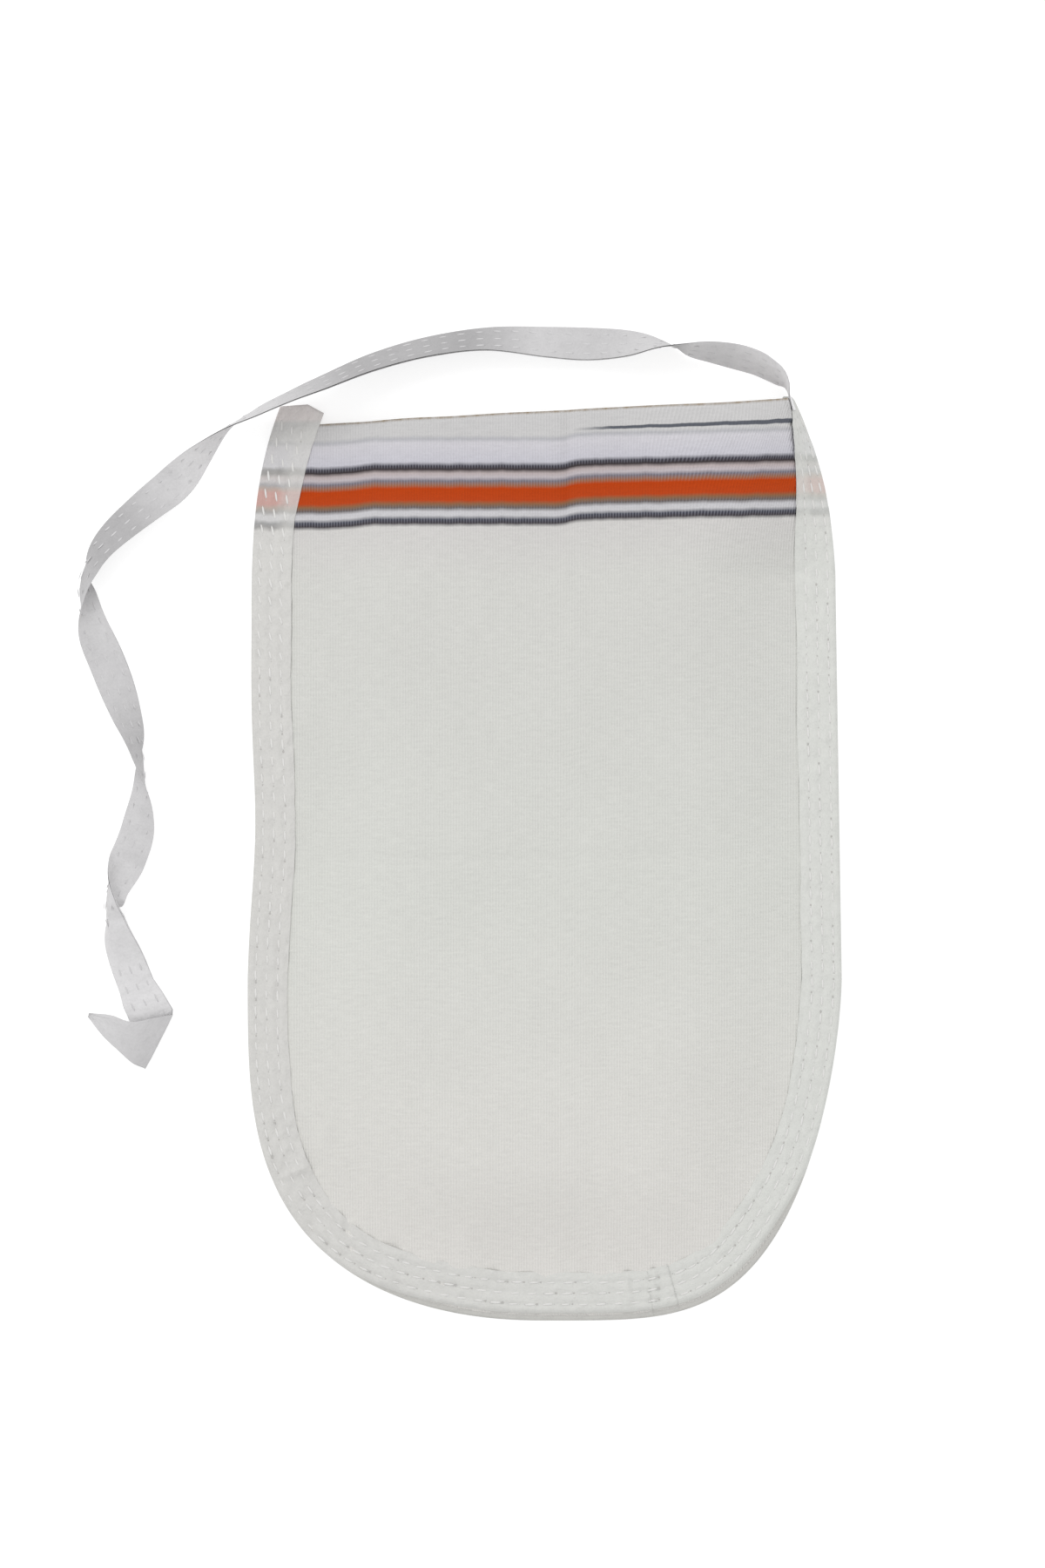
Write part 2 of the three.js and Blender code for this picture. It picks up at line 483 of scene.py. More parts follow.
class Bench:
    """Adds and joins the nodes of one tree."""

    def __init__(self, tree: bpy.types.NodeTree) -> None:
        """Start on a tree.

        Args:
            tree: The tree that takes the nodes.
        """
        self.tree = tree

    def add(self, kind: str, inputs: dict | None = None, **settings: object) -> bpy.types.Node:
        """Add a node.

        Args:
            kind: The node's type.
            inputs: Values or sockets by input name or number.
            settings: The node's own settings.

        Returns:
            The node.
        """
        made = self.tree.nodes.new(kind)
        for name, value in settings.items():
            setattr(made, name, value)
        for key, value in (inputs or {}).items():
            if isinstance(value, bpy.types.NodeSocket):
                self.tree.links.new(value, made.inputs[key])
            else:
                made.inputs[key].default_value = value
        return made

    def math(self, operation: str, *values: object) -> bpy.types.NodeSocket:
        """Add a sum of one to three values and give its result."""
        return self.add("ShaderNodeMath", dict(enumerate(values)), operation=operation).outputs[0]

    def span(
        self, value: object, low: float, high: float, first: float = 0.0, last: float = 1.0
    ) -> bpy.types.NodeSocket:
        """Map a value from low and high to first and last, held at both ends."""
        return self.add("ShaderNodeMapRange", {0: value, 1: low, 2: high, 3: first, 4: last}).outputs[0]

    def mix(self, share: object, first: object, second: object, blend: str = "MIX") -> bpy.types.NodeSocket:
        """Mix two colours."""
        inputs = {0: share, 6: first, 7: second}
        return self.add("ShaderNodeMix", inputs, data_type="RGBA", blend_type=blend).outputs[2]

    def noise(self, vector: object, scale: float, detail: float = 2.0) -> bpy.types.NodeSocket:
        """Give noise from 0 to 1."""
        return self.add("ShaderNodeTexNoise", {"Vector": vector, "Scale": scale, "Detail": detail}).outputs[0]

    def vary(self, noise_value: object, low: float, high: float) -> bpy.types.NodeSocket:
        """Map noise to low and high, over the part of its range that it mostly keeps to."""
        return self.span(noise_value, NOISE_LOW, NOISE_HIGH, low, high)

    def shaded(self, colour: object, shade: object) -> bpy.types.NodeSocket:
        """Multiply a colour by a shade."""
        return self.mix(1.0, colour, self.vector(shade, shade, shade), "MULTIPLY")

    def ramp(
        self, value: object, low: float, high: float, stops: list[tuple[float, tuple]]
    ) -> bpy.types.NodeSocket:
        """Colour a value by stops that lie between low and high.

        Args:
            value: What the colour follows.
            low: Where the ramp starts.
            high: Where it ends.
            stops: Values and colours, in rising order.

        Returns:
            The colour.
        """
        node = self.add("ShaderNodeValToRGB", {0: self.span(value, low, high)})
        elements = node.color_ramp.elements
        for index, (at, colour) in enumerate(stops):
            position = (at - low) / (high - low)
            stop = elements[index] if index < 2 else elements.new(position)
            stop.position = position
            stop.color = colour
        return node.outputs[0]

    def place(self) -> tuple[bpy.types.NodeSocket, ...]:
        """Give where a point lies on the cloth: across, down and in from the rim, in millimetres.

        Returns:
            Three sockets.
        """
        stored = self.add("ShaderNodeAttribute", attribute_name=CLOTH_PLACE)
        parts = self.add("ShaderNodeSeparateXYZ", {0: stored.outputs["Vector"]})
        return tuple(parts.outputs)

    def vector(self, x: object, y: object, z: object = 0.0) -> bpy.types.NodeSocket:
        """Join three values into a vector."""
        return self.add("ShaderNodeCombineXYZ", {0: x, 1: y, 2: z}).outputs[0]


@dataclass(frozen=True)
class Band:
    """One band, between two distances down from the first dark stripe, in millimetres: woven, except the
    first, which is painted shade.
    """

    start: float
    end: float
    first: tuple[int, int, int]
    last: tuple[int, int, int]
    dotted: float = 0.0


HEM_COLOUR = (197, 196, 196)
BANDS = (
    # The first band is painted shade: the line where the folded hem ends inside the cloth
    Band(-6.5, -5.6, (177, 177, 181), (177, 177, 181)),
    Band(-5.4, -0.2, (202, 200, 205), (193, 192, 200)),
    Band(0.0, 1.1, (66, 66, 77), (56, 54, 62), 0.24),
    Band(1.25, 2.25, (60, 54, 56), (56, 46, 46)),
    Band(2.6, 4.2, (190, 178, 178), (185, 181, 188)),
    Band(4.4, 5.2, (112, 110, 122), (100, 84, 84), 0.2),
    Band(5.5, 5.9, (150, 100, 72), (180, 112, 72), 0.15),
    Band(6.2, 9.6, (180, 62, 6), (180, 66, 22)),
    Band(9.9, 10.4, (162, 98, 58), (134, 98, 70)),
    Band(10.6, 11.3, (74, 62, 54), (76, 66, 62), 0.25),
    Band(11.7, 13.4, (195, 194, 198), (197, 196, 199)),
    Band(13.4, 14.8, (70, 74, 88), (60, 62, 72), 0.26),
    Band(15.1, 15.6, (60, 57, 62), (64, 54, 56), 0.1),
)
# Plain cloth past the bands: distance down and colour
CREAM = ((16.2, (204, 202, 200)), (30.0, (207, 207, 203)), (110.0, (210, 211, 206)), (205.0, (217, 215, 211)))
HEM_END = -6.7
DOTS_FROM = -7.0
DOTS_FADE = 0.1
RAMP_SPAN = (-16.0, 234.0)
BLACK = (0, 0, 0, 1)
LIGHT_GAIN = 1.05


def cloth_colour(colour: tuple[int, int, int]) -> tuple[float, float, float, float]:
    """Give the colour of the cloth itself from how it looks in the studio's light.

    Args:
        colour: Red, green and blue from 0 to 255, as they look.

    Returns:
        The linear colour with full alpha.
    """
    red, green, blue, alpha = srgb(*colour)
    return red / LIGHT_GAIN, green / LIGHT_GAIN, blue / LIGHT_GAIN, alpha


def woven_bands_and_hem_shade(bench: Bench, down: object) -> bpy.types.NodeSocket:
    """Give the colour of the woven bands at a distance down the cloth, with the painted shade line at the
    hem's end.

    Args:
        bench: Where the nodes go.
        down: The distance, in millimetres.

    Returns:
        The colour.
    """
    stops = [(HEM_END, cloth_colour(HEM_COLOUR))]
    for band in BANDS:
        stops.append((band.start, cloth_colour(band.first)))
        stops.append((band.end, cloth_colour(band.last)))
    stops.extend((position, cloth_colour(colour)) for position, colour in CREAM)
    return bench.ramp(down, *RAMP_SPAN, stops)


def dotted_share(bench: Bench, down: object) -> bpy.types.NodeSocket:
    """Give how much light weft shows through each band.

    Args:
        bench: Where the nodes go.
        down: The distance down the cloth, in millimetres.

    Returns:
        The share.
    """
    stops = [(DOTS_FROM, BLACK)]
    for band in BANDS:
        if band.dotted:
            tone = (band.dotted, band.dotted, band.dotted, 1)
            stops.extend([(band.start - DOTS_FADE, BLACK), (band.start, tone)])
            stops.extend([(band.end, tone), (band.end + DOTS_FADE, BLACK)])
    return bench.ramp(down, *RAMP_SPAN, stops)


@dataclass(frozen=True)
class Finish:
    """A cloth-like surface."""

    name: str
    roughness: float = 0.92
    sheen: float = 0.05
    specular: float = 0.15

    def surface(self, bench: Bench) -> tuple[object, object]:
        """Give the base colour and the height of the weave in millimetres."""
        raise NotImplementedError

    def build(self) -> bpy.types.Material:
        """Make the material.

        Returns:
            The material.
        """
        material = bpy.data.materials.new(self.name)
        material.use_nodes = True
        tree = material.node_tree
        bench = Bench(tree)
        shader = tree.nodes["Principled BSDF"]
        colour, height = self.surface(bench)
        if isinstance(colour, bpy.types.NodeSocket):
            tree.links.new(colour, shader.inputs["Base Color"])
        else:
            shader.inputs["Base Color"].default_value = colour
        bump = bench.add("ShaderNodeBump", {"Strength": 1.0, "Distance": MM, "Height": height})
        tree.links.new(bump.outputs[0], shader.inputs["Normal"])
        shader.inputs["Roughness"].default_value = self.roughness
        shader.inputs["Sheen Weight"].default_value = self.sheen
        shader.inputs["Specular IOR Level"].default_value = self.specular
        return material


@dataclass(frozen=True)
class StripedCloth(Finish):
    """Ribbed cloth with woven bands near the mouth."""

    rib_pitch: float = 0.72
    rib_height: float = 0.05
    rib_shade: float = 0.03
    rib_light: tuple[float, float] = (-0.4, 0.6)
    sway_scale: float = 0.22
    sway: float = 0.35
    slub_stretch: tuple[float, float] = (0.25, 1.5)
    slub_height: float = 0.1
    slub_shade: float = 0.03
    nap_scale: float = 2.2
    nap_height: float = 0.05
    nap_shade: float = 0.04
    patch_scale: float = 0.03
    patch_shades: tuple[float, float] = (0.985, 1.015)
    dot_colour: tuple[int, int, int] = (178, 178, 188)
    edge_colour: tuple[int, int, int] = (142, 124, 98)
    edge_span: tuple[float, float] = (0.2, 0.75)
    edge_scale: float = 0.55
    edge_least: float = 0.25
    fine_stripe: tuple[int, int, int] = (90, 93, 101)
    fine_stripe_down: float = -7.45
    fine_stripe_slope: float = -0.017
    fine_stripe_halves: tuple[float, float] = (0.2, 0.5)
    fine_stripe_widens: tuple[float, float] = (10, 60)
    fine_stripe_starts: tuple[float, float] = (7, 17)
    fine_stripe_blur: float = 0.25

    def surface(self, bench: Bench) -> tuple[object, object]:
        """Give the bands, the dots between their threads and the ribs.

        Args:
            bench: Where the nodes go.

        Returns:
            The base colour, and the height of the surface in millimetres.
        """
        across, down, below = bench.place()
        sway = bench.noise(bench.vector(across, 0.0), self.sway_scale, 3)
        level = bench.math("ADD", down, bench.span(sway, 0, 1, -self.sway, self.sway))
        rib = bench.math("SINE", bench.math("MULTIPLY", across, 2 * math.pi / self.rib_pitch))
        rib_share = bench.span(rib, *self.rib_light)
        colour = woven_bands_and_hem_shade(bench, level)
        dots = bench.math("MULTIPLY", rib_share, dotted_share(bench, level))
        colour = bench.mix(dots, colour, cloth_colour(self.dot_colour))
        shown = self.fine_stripe_share(bench, across, level)
        colour = bench.mix(shown, colour, cloth_colour(self.fine_stripe))
        along, off = (
            bench.math("MULTIPLY", way, stretch) for way, stretch in zip((across, down), self.slub_stretch)
        )
        slub = bench.noise(bench.vector(along, off), 1, 2)
        nap = bench.noise(bench.vector(across, down), self.nap_scale, 3)
        patch = bench.noise(bench.vector(across, down), self.patch_scale, 2)
        colour = bench.mix(self.frayed_share(bench, across, below), colour, cloth_colour(self.edge_colour))
        uneven = bench.vary(slub, -self.slub_shade, self.slub_shade)
        shade = bench.math("ADD", uneven, bench.vary(patch, *self.patch_shades))
        shade = bench.math("ADD", shade, bench.vary(nap, -self.nap_shade, self.nap_shade))
        shade = bench.math("MULTIPLY_ADD", rib, self.rib_shade, shade)
        height = bench.math("MULTIPLY", rib, self.rib_height)
        height = bench.math("MULTIPLY_ADD", slub, self.slub_height, height)
        height = bench.math("MULTIPLY_ADD", nap, self.nap_height, height)
        return bench.shaded(colour, shade), height

    def fine_stripe_share(self, bench: Bench, across: object, level: object) -> bpy.types.NodeSocket:
        """Give how much of the fine stripe above the bands shows, which widens to the right.

        Args:
            bench: Where the nodes go.
            across: The distance across the cloth.
            level: The distance down it.

        Returns:
            The share.
        """
        line = bench.math("MULTIPLY_ADD", across, self.fine_stripe_slope, self.fine_stripe_down)
        away = bench.math("ABSOLUTE", bench.math("SUBTRACT", level, line))
        half = bench.span(across, *self.fine_stripe_widens, *self.fine_stripe_halves)
        away = bench.math("SUBTRACT", away, half)
        inside = bench.span(away, 0, self.fine_stripe_blur, 1, 0)
        return bench.math("MULTIPLY", inside, bench.span(across, *self.fine_stripe_starts))

    def frayed_share(self, bench: Bench, across: object, below: object) -> bpy.types.NodeSocket:
        """Give how much of the darker thread shows along the mouth's edge.

        Args:
            bench: Where the nodes go.
            across: The distance across the cloth.
            below: The distance below the edge.

        Returns:
            The share.
        """
        speck = bench.noise(bench.vector(bench.math("MULTIPLY", across, self.edge_scale), 0.0), 1, 2)
        near = bench.span(below, *self.edge_span, 1, 0)
        return bench.math("MULTIPLY", near, bench.vary(speck, self.edge_least, 1))


@dataclass(frozen=True)
class TapeFinish(Finish):
    """Thin crumpled tape."""

    nap_scale: float = 1.6
    nap_shade: float = 0.03
    nap_height: float = 0.1
    crease_scale: float = 0.33
    crease_shades: tuple[float, float] = (0.96, 1.02)
    crease_height: float = 0.55

    def crumpled(self, bench: Bench, colour: object, place: object) -> tuple[object, object]:
        """Give the tape's colour with a fine mottle, and the height of its nap and creases.

        Args:
            bench: Where the nodes go.
            colour: The plain colour.
            place: Where the point lies, in millimetres.

        Returns:
            The colour and the height in millimetres.
        """
        nap = bench.noise(place, self.nap_scale, 3)
        crease = bench.noise(place, self.crease_scale, 3)
        mottle = bench.vary(nap, -self.nap_shade, self.nap_shade)
        shade = bench.math("ADD", mottle, bench.vary(crease, *self.crease_shades))
        height = bench.math("MULTIPLY", nap, self.nap_height)
        return bench.shaded(colour, shade), bench.math("MULTIPLY_ADD", crease, self.crease_height, height)


@dataclass(frozen=True)
class BindingCloth(TapeFinish):
    """Thin pale tape through which the bands of the cloth show faintly."""

    colour: tuple[int, int, int] = (207, 206, 203)
    right_colour: tuple[int, int, int] = (211, 212, 208)
    # Painted light: the stub past the mouth is coloured lighter to make up for the shade it lies in
    stub_light_colour: tuple[int, int, int] = (219, 213, 211)
    # Painted shade for the fold's crescent past the front's edge, where the tape turns under
    edge_colour: tuple[int, int, int] = (196, 195, 191)
    sides: tuple[float, float] = (-60, 60)
    sway_scale: float = 0.35
    sway: float = 0.7
    ghosts: tuple[float, float] = (0.42, 0.2)
    ghost_inset: tuple[float, float] = (5, 7.5)
    ghost_gain: tuple[float, float] = (1.15, 0.6)
    ghost_end: tuple[float, float] = (18, 22)
    stub_light_end: tuple[float, float] = (-12.4, -11.4)
    stub_light_side: tuple[float, float] = (-60, -50)
    edge_inset: tuple[float, float] = (-0.5, -0.1)

    def surface(self, bench: Bench) -> tuple[object, object]:
        """Give the tape with the bands behind it, its painted light and shade, and its fine crosswise weave.

        Args:
            bench: Where the nodes go.

        Returns:
            The base colour, and the height of the surface in millimetres.
        """
        across, down, inset = bench.place()
        sway = bench.noise(bench.vector(across, down), self.sway_scale, 2)
        level = bench.math("ADD", down, bench.span(sway, 0, 1, -self.sway, self.sway))
        ghost = bench.span(across, *self.sides, *self.ghosts)
        ghost = bench.math("MULTIPLY", ghost, bench.span(inset, *self.ghost_inset, *self.ghost_gain))
        ghost = bench.math("MULTIPLY", ghost, bench.span(down, *self.ghost_end, 1, 0))
        right = bench.span(across, *self.sides)
        base = bench.mix(right, cloth_colour(self.colour), cloth_colour(self.right_colour))
        colour = bench.mix(ghost, base, woven_bands_and_hem_shade(bench, level))
        # Painted light on the stub past the mouth, at the top left, against the shade it lies in
        above, left = (
            bench.span(way, *ends, 1, 0) for way, ends in ((down, self.stub_light_end), (across, self.stub_light_side))
        )
        colour = bench.mix(bench.math("MULTIPLY", above, left), colour, cloth_colour(self.stub_light_colour))
        # Painted shade on the fold's crescent past the front's edge
        colour = bench.mix(bench.span(inset, *self.edge_inset, 1, 0), colour, cloth_colour(self.edge_colour))
        return self.crumpled(bench, colour, bench.vector(across, down, inset))


@dataclass(frozen=True)
class StrapCloth(TapeFinish):
    """The same tape where it runs free, with the light and shade of its twists painted along it.

    Args:
        tones_and_shade: Distances along the strap in millimetres, each with the tone there, from 0 to 255:
            painted light and shade of the strap's twists and turns, over the tape's own tone.
    """

    # Painted light and shade along the strap, where it twists and turns, over the tape's own tone
    tones_and_shade: tuple = (
        (0, 232), (14, 218), (26, 209), (34, 214), (37, 190), (44, 199), (56, 192), (74, 197), (82, 180),
        (92, 162), (104, 170), (122, 166), (134, 182), (146, 199), (158, 206), (170, 224), (180, 204),
        (194, 172), (206, 170), (218, 188), (225, 210), (236, 199), (248, 194), (260, 180), (272, 200),
        (290, 205), (314, 213), (332, 217), (340, 198), (346, 192), (363, 212),
    )

    def surface(self, bench: Bench) -> tuple[object, object]:
        """Give the tone along the strap, with its painted light and shade, and its fine weave.

        Args:
            bench: Where the nodes go.

        Returns:
            The base colour, and the height of the surface in millimetres.
        """
        along, across, _ = bench.place()
        stops = [(at, cloth_colour((tone, tone - 1, tone))) for at, tone in self.tones_and_shade]
        colour = bench.ramp(along, 0, self.tones_and_shade[-1][0], stops)
        return self.crumpled(bench, colour, bench.vector(along, across))


@dataclass(frozen=True)
class Thread(Finish):
    """Sewing thread of one colour, also used in dark grey as painted shade in the needle holes."""

    colour: tuple[int, int, int] = (220, 219, 217)
    twist_scale: float = 2600
    twist_height: float = 0.06

    def surface(self, bench: Bench) -> tuple[object, object]:
        """Give the thread's colour and its twist.

        Args:
            bench: Where the nodes go.

        Returns:
            The base colour, and the height of the surface in millimetres.
        """
        coordinates = bench.add("ShaderNodeTexCoord")
        twist = bench.noise(coordinates.outputs["Object"], self.twist_scale, 1)
        return cloth_colour(self.colour), bench.math("MULTIPLY", twist, self.twist_height)


# ---------------------------------------------------------------- studio


@dataclass
class Studio:
    """Floor, light and camera."""

    view_x: float = -5.7 * MM
    view_y: float = 17.8 * MM
    view_width: float = 268.7 * MM
    distance: float = 1.2
    film_width: float = 24.0
    floor_size: float = 6.0
    floor_drop: float = 0.02 * MM
    floor_grey: float = 0.5
    floor_glow: float = 0.62
    sky: float = 0.95
    lamp_power: float = 6.0
    lamp_size: float = 0.8
    lamp_place: tuple[float, float, float] = (-0.45, 0.95, 1.05)

    def build(self) -> None:
        """Make the camera first, then the floor and the lights."""
        scene = bpy.context.scene
        scene.view_settings.view_transform = "Standard"
        camera_data = bpy.data.cameras.new("camera")
        camera_data.sensor_fit = "HORIZONTAL"
        camera_data.sensor_width = self.film_width
        camera_data.lens = self.film_width * self.distance / self.view_width
        camera = bpy.data.objects.new("camera", camera_data)
        camera.location = (self.view_x, self.view_y, self.distance)
        scene.collection.objects.link(camera)
        scene.camera = camera
        self.floor()
        self.lights(scene)
        LOG.info("built the studio")

    def floor(self) -> None:
        """Lay the floor under the object."""
        half = self.floor_size / 2
        low = -self.floor_drop
        corners = [(-half, -half, low), (half, -half, low), (half, half, low), (-half, half, low)]
        mesh = bpy.data.meshes.new("floor")
        mesh.from_pydata(corners, [], [(0, 1, 2, 3)])
        floor = bpy.data.objects.new("floor", mesh)
        bpy.context.scene.collection.objects.link(floor)
        material = bpy.data.materials.new("floor")
        material.use_nodes = True
        shader = material.node_tree.nodes["Principled BSDF"]
        shader.inputs["Base Color"].default_value = (self.floor_grey, self.floor_grey, self.floor_grey, 1)
        shader.inputs["Emission Color"].default_value = (1, 1, 1, 1)
        shader.inputs["Emission Strength"].default_value = self.floor_glow
        shader.inputs["Roughness"].default_value = 1.0
        shader.inputs["Specular IOR Level"].default_value = 0.0
        mesh.materials.append(material)

    def lights(self, scene: bpy.types.Scene) -> None:
        """Set an even sky and one large soft lamp up and to the left.

        Args:
            scene: The scene.
        """
        world = bpy.data.worlds.new("studio")
        world.use_nodes = True
        backdrop = world.node_tree.nodes["Background"]
        backdrop.inputs["Color"].default_value = (1, 1, 1, 1)
        backdrop.inputs["Strength"].default_value = self.sky
        scene.world = world
        lamp_data = bpy.data.lights.new("key", "AREA")
        lamp_data.energy = self.lamp_power
        lamp_data.size = self.lamp_size
        lamp = bpy.data.objects.new("key", lamp_data)
        lamp.location = self.lamp_place
        lamp.rotation_euler = (-lamp.location).to_track_quat("-Z", "Y").to_euler()
        scene.collection.objects.link(lamp)


# ---------------------------------------------------------------- seam


@dataclass(frozen=True)
class Tuck:
    """A narrow fold that stands up along a line."""

    start: tuple[float, float] = (-68.0 * MM, -83.2 * MM)
    end: tuple[float, float] = (-61.2 * MM, -80.6 * MM)
    height: float = 0.9 * MM
    half_width: float = 0.75 * MM
    start_fade: tuple[float, float] = (-1 * MM, 0.5 * MM)
    end_fade: float = 1.5 * MM

    def at(self, x: np.ndarray, y: np.ndarray) -> np.ndarray:
        """Give its height at points of the seam.

        Args:
            x: The points' x.
            y: The points' y.

        Returns:
            The heights.
        """
        run = np.array(self.end) - np.array(self.start)
        length = float(np.hypot(*run))
        from_x, from_y = x - self.start[0], y - self.start[1]
        along = (from_x * run[0] + from_y * run[1]) / length
        off = (from_x * -run[1] + from_y * run[0]) / length
        inside = smoothstep(along, *self.start_fade) * (1 - smoothstep(along, length, length + self.end_fade))
        return self.height * inside * np.exp(-((off / self.half_width) ** 2))


@dataclass(frozen=True)
class Pleats:
    """Flat steps in the tape, side by side at the closed end."""

    sides: tuple = ((20.0 * MM, 22.5 * MM), (27.2 * MM, 29.2 * MM))
    height: float = 0.5 * MM
    edge: float = 0.6 * MM
    below: tuple[float, float] = (90 * MM, 96 * MM)

    def at(self, x: np.ndarray, rim_y: np.ndarray) -> np.ndarray:
        """Give their height at points of the seam.

        Args:
            x: The points' x.
            rim_y: The y of the rim beside each point.

        Returns:
            The heights.
        """
        tops = [
            smoothstep(x, left, left + self.edge) - smoothstep(x, right - self.edge, right)
            for left, right in self.sides
        ]
        return self.height * smoothstep(-rim_y, *self.below) * sum(tops)


@dataclass
class Seam:
    """Shape of the bound edge: where the tape lies, how it puckers and where it folds."""

    fold_radius: float = 0.9 * MM
    quilt: float = 0.24 * MM
    row_width: float = 0.65 * MM
    lip: tuple[float, float] = (8.6 * MM, 10.2 * MM)
    loose_from_fold: float = 1.4 * MM
    slip_full: float = 2.2 * MM
    slip_below: tuple[float, float] = (72 * MM, 104 * MM)
    slip_right_of: tuple[float, float] = (-62 * MM, -20 * MM)
    extra_width: float = 0.25 * MM
    edge_swells: tuple = (Swell(0.3 * MM, 14 * MM, 1, 3.5), Swell(0.12 * MM, 3 * MM, 1, 7.5))
    widening: float = 0.9 * MM
    widening_above: tuple[float, float] = (84 * MM, 100 * MM)
    narrowing: float = 0.8 * MM
    narrowing_above: tuple[float, float] = (113 * MM, 118 * MM)
    wrinkle_height: float = 0.16 * MM
    corner_wrinkle: float = 0.5 * MM
    corner_below: tuple[float, float] = (58 * MM, 84 * MM)
    corner_left_of: tuple[float, float] = (-10 * MM, 45 * MM)
    wrinkle_slant: float = 0.9
    broad_wrinkle: Swell = Swell(1, 3.4 * MM, 9 * MM, 11.5)
    fine_wrinkle: Swell = Swell(0.35, 2.1 * MM, 2.6 * MM, 17.5)
    lap_x: float = 34.8 * MM
    lap_length: float = 7 * MM
    tuck: Tuck = Tuck()
    pleats: Pleats = Pleats()
    right_end_y: float = 117.2 * MM
    squeeze_from_y: float = 116.6 * MM
    squeeze_middle: float = 0.65 * MM
    squeeze_to: float = 0.3

    def right_end(self) -> float:
        """Give the place along the rim past which only the strap goes on."""
        return RIM.share_where((RIM.points[:, 0] > 0) & (RIM.points[:, 1] > self.right_end_y))

    def slip(self, share: np.ndarray) -> np.ndarray:
        """Give how far the front of the seam lies in from its back, round the closed end."""
        x, y = RIM.line(share)
        return self.slip_full * smoothstep(-y, *self.slip_below) * smoothstep(x, *self.slip_right_of)

    def width(self, share: np.ndarray) -> np.ndarray:
        """Give the width of the tape's front leg, with its slightly wavy inner edge.

        Args:
            share: Places along the rim.

        Returns:
            The widths.
        """
        x, y = RIM.line(share)
        wave = sum(swell.at(share * RIM.length) for swell in self.edge_swells)
        side = np.where(x < 0, self.widening * smoothstep(y, *self.widening_above), 0)
        root = np.where(x > 0, self.narrowing * smoothstep(y, *self.narrowing_above), 0)
        return TAPE_WIDTH + self.extra_width + wave + side - root

    def pucker(self, share: np.ndarray, inset: np.ndarray) -> np.ndarray:
        """Give the slanting wrinkles, strongest round the closed end's left corner.

        Args:
            share: Places along the rim.
            inset: Distances in from it.

        Returns:
            The heights.
        """
        x, y = RIM.line(share)
        along = share * RIM.length
        corner = smoothstep(-y, *self.corner_below) * smoothstep(-x, *self.corner_left_of)
        strength = self.wrinkle_height + self.corner_wrinkle * corner
        broad = self.broad_wrinkle.at(along + self.wrinkle_slant * inset, inset)
        return strength * (broad + self.fine_wrinkle.at(along, inset))

    def folds(self, share: np.ndarray, inset: np.ndarray) -> np.ndarray:
        """Give the height of the tuck and of the pleats beside the lap.

        Args:
            share: Places along the rim.
            inset: Distances in from it.

        Returns:
            The heights.
        """
        base, inward = RIM.at(share)
        place = base + inward * inset[..., None]
        return self.tuck.at(place[..., 0], place[..., 1]) + self.pleats.at(place[..., 0], base[..., 1])

    def front_height(self, share: np.ndarray, inset: np.ndarray) -> np.ndarray:
        """Give the height of the tape's front leg above the table, on the flat seam.

        Args:
            share: Places along the rim.
            inset: Distances in from it.

        Returns:
            The heights.
        """
        share, inset = np.broadcast_arrays(share, inset)
        rows = sum(np.exp(-(((inset - row) / self.row_width) ** 2)) for row in ROW_INSETS.values())
        puff = self.quilt * (1 - np.clip(rows, 0, 1)) * (1 - smoothstep(inset, *self.lip))
        loose = smoothstep(inset, 0, self.loose_from_fold)
        return FRONT_TAPE_Z + puff + (self.pucker(share, inset) + self.folds(share, inset)) * loose

    def squeezed(self, share: np.ndarray, height: np.ndarray) -> np.ndarray:
        """Flatten the seam past the end of the cloth, at the strap's corner.

        Args:
            share: Places along the rim.
            height: Heights above the table there.

        Returns:
            The new heights.
        """
        x, y = RIM.line(share)
        amount = np.where(x > 0, smoothstep(y, self.squeeze_from_y, RIM.top_y), 0)
        flat = self.squeeze_middle + (height - self.squeeze_middle) * self.squeeze_to
        return height + (flat - height) * amount


SEAM = Seam()


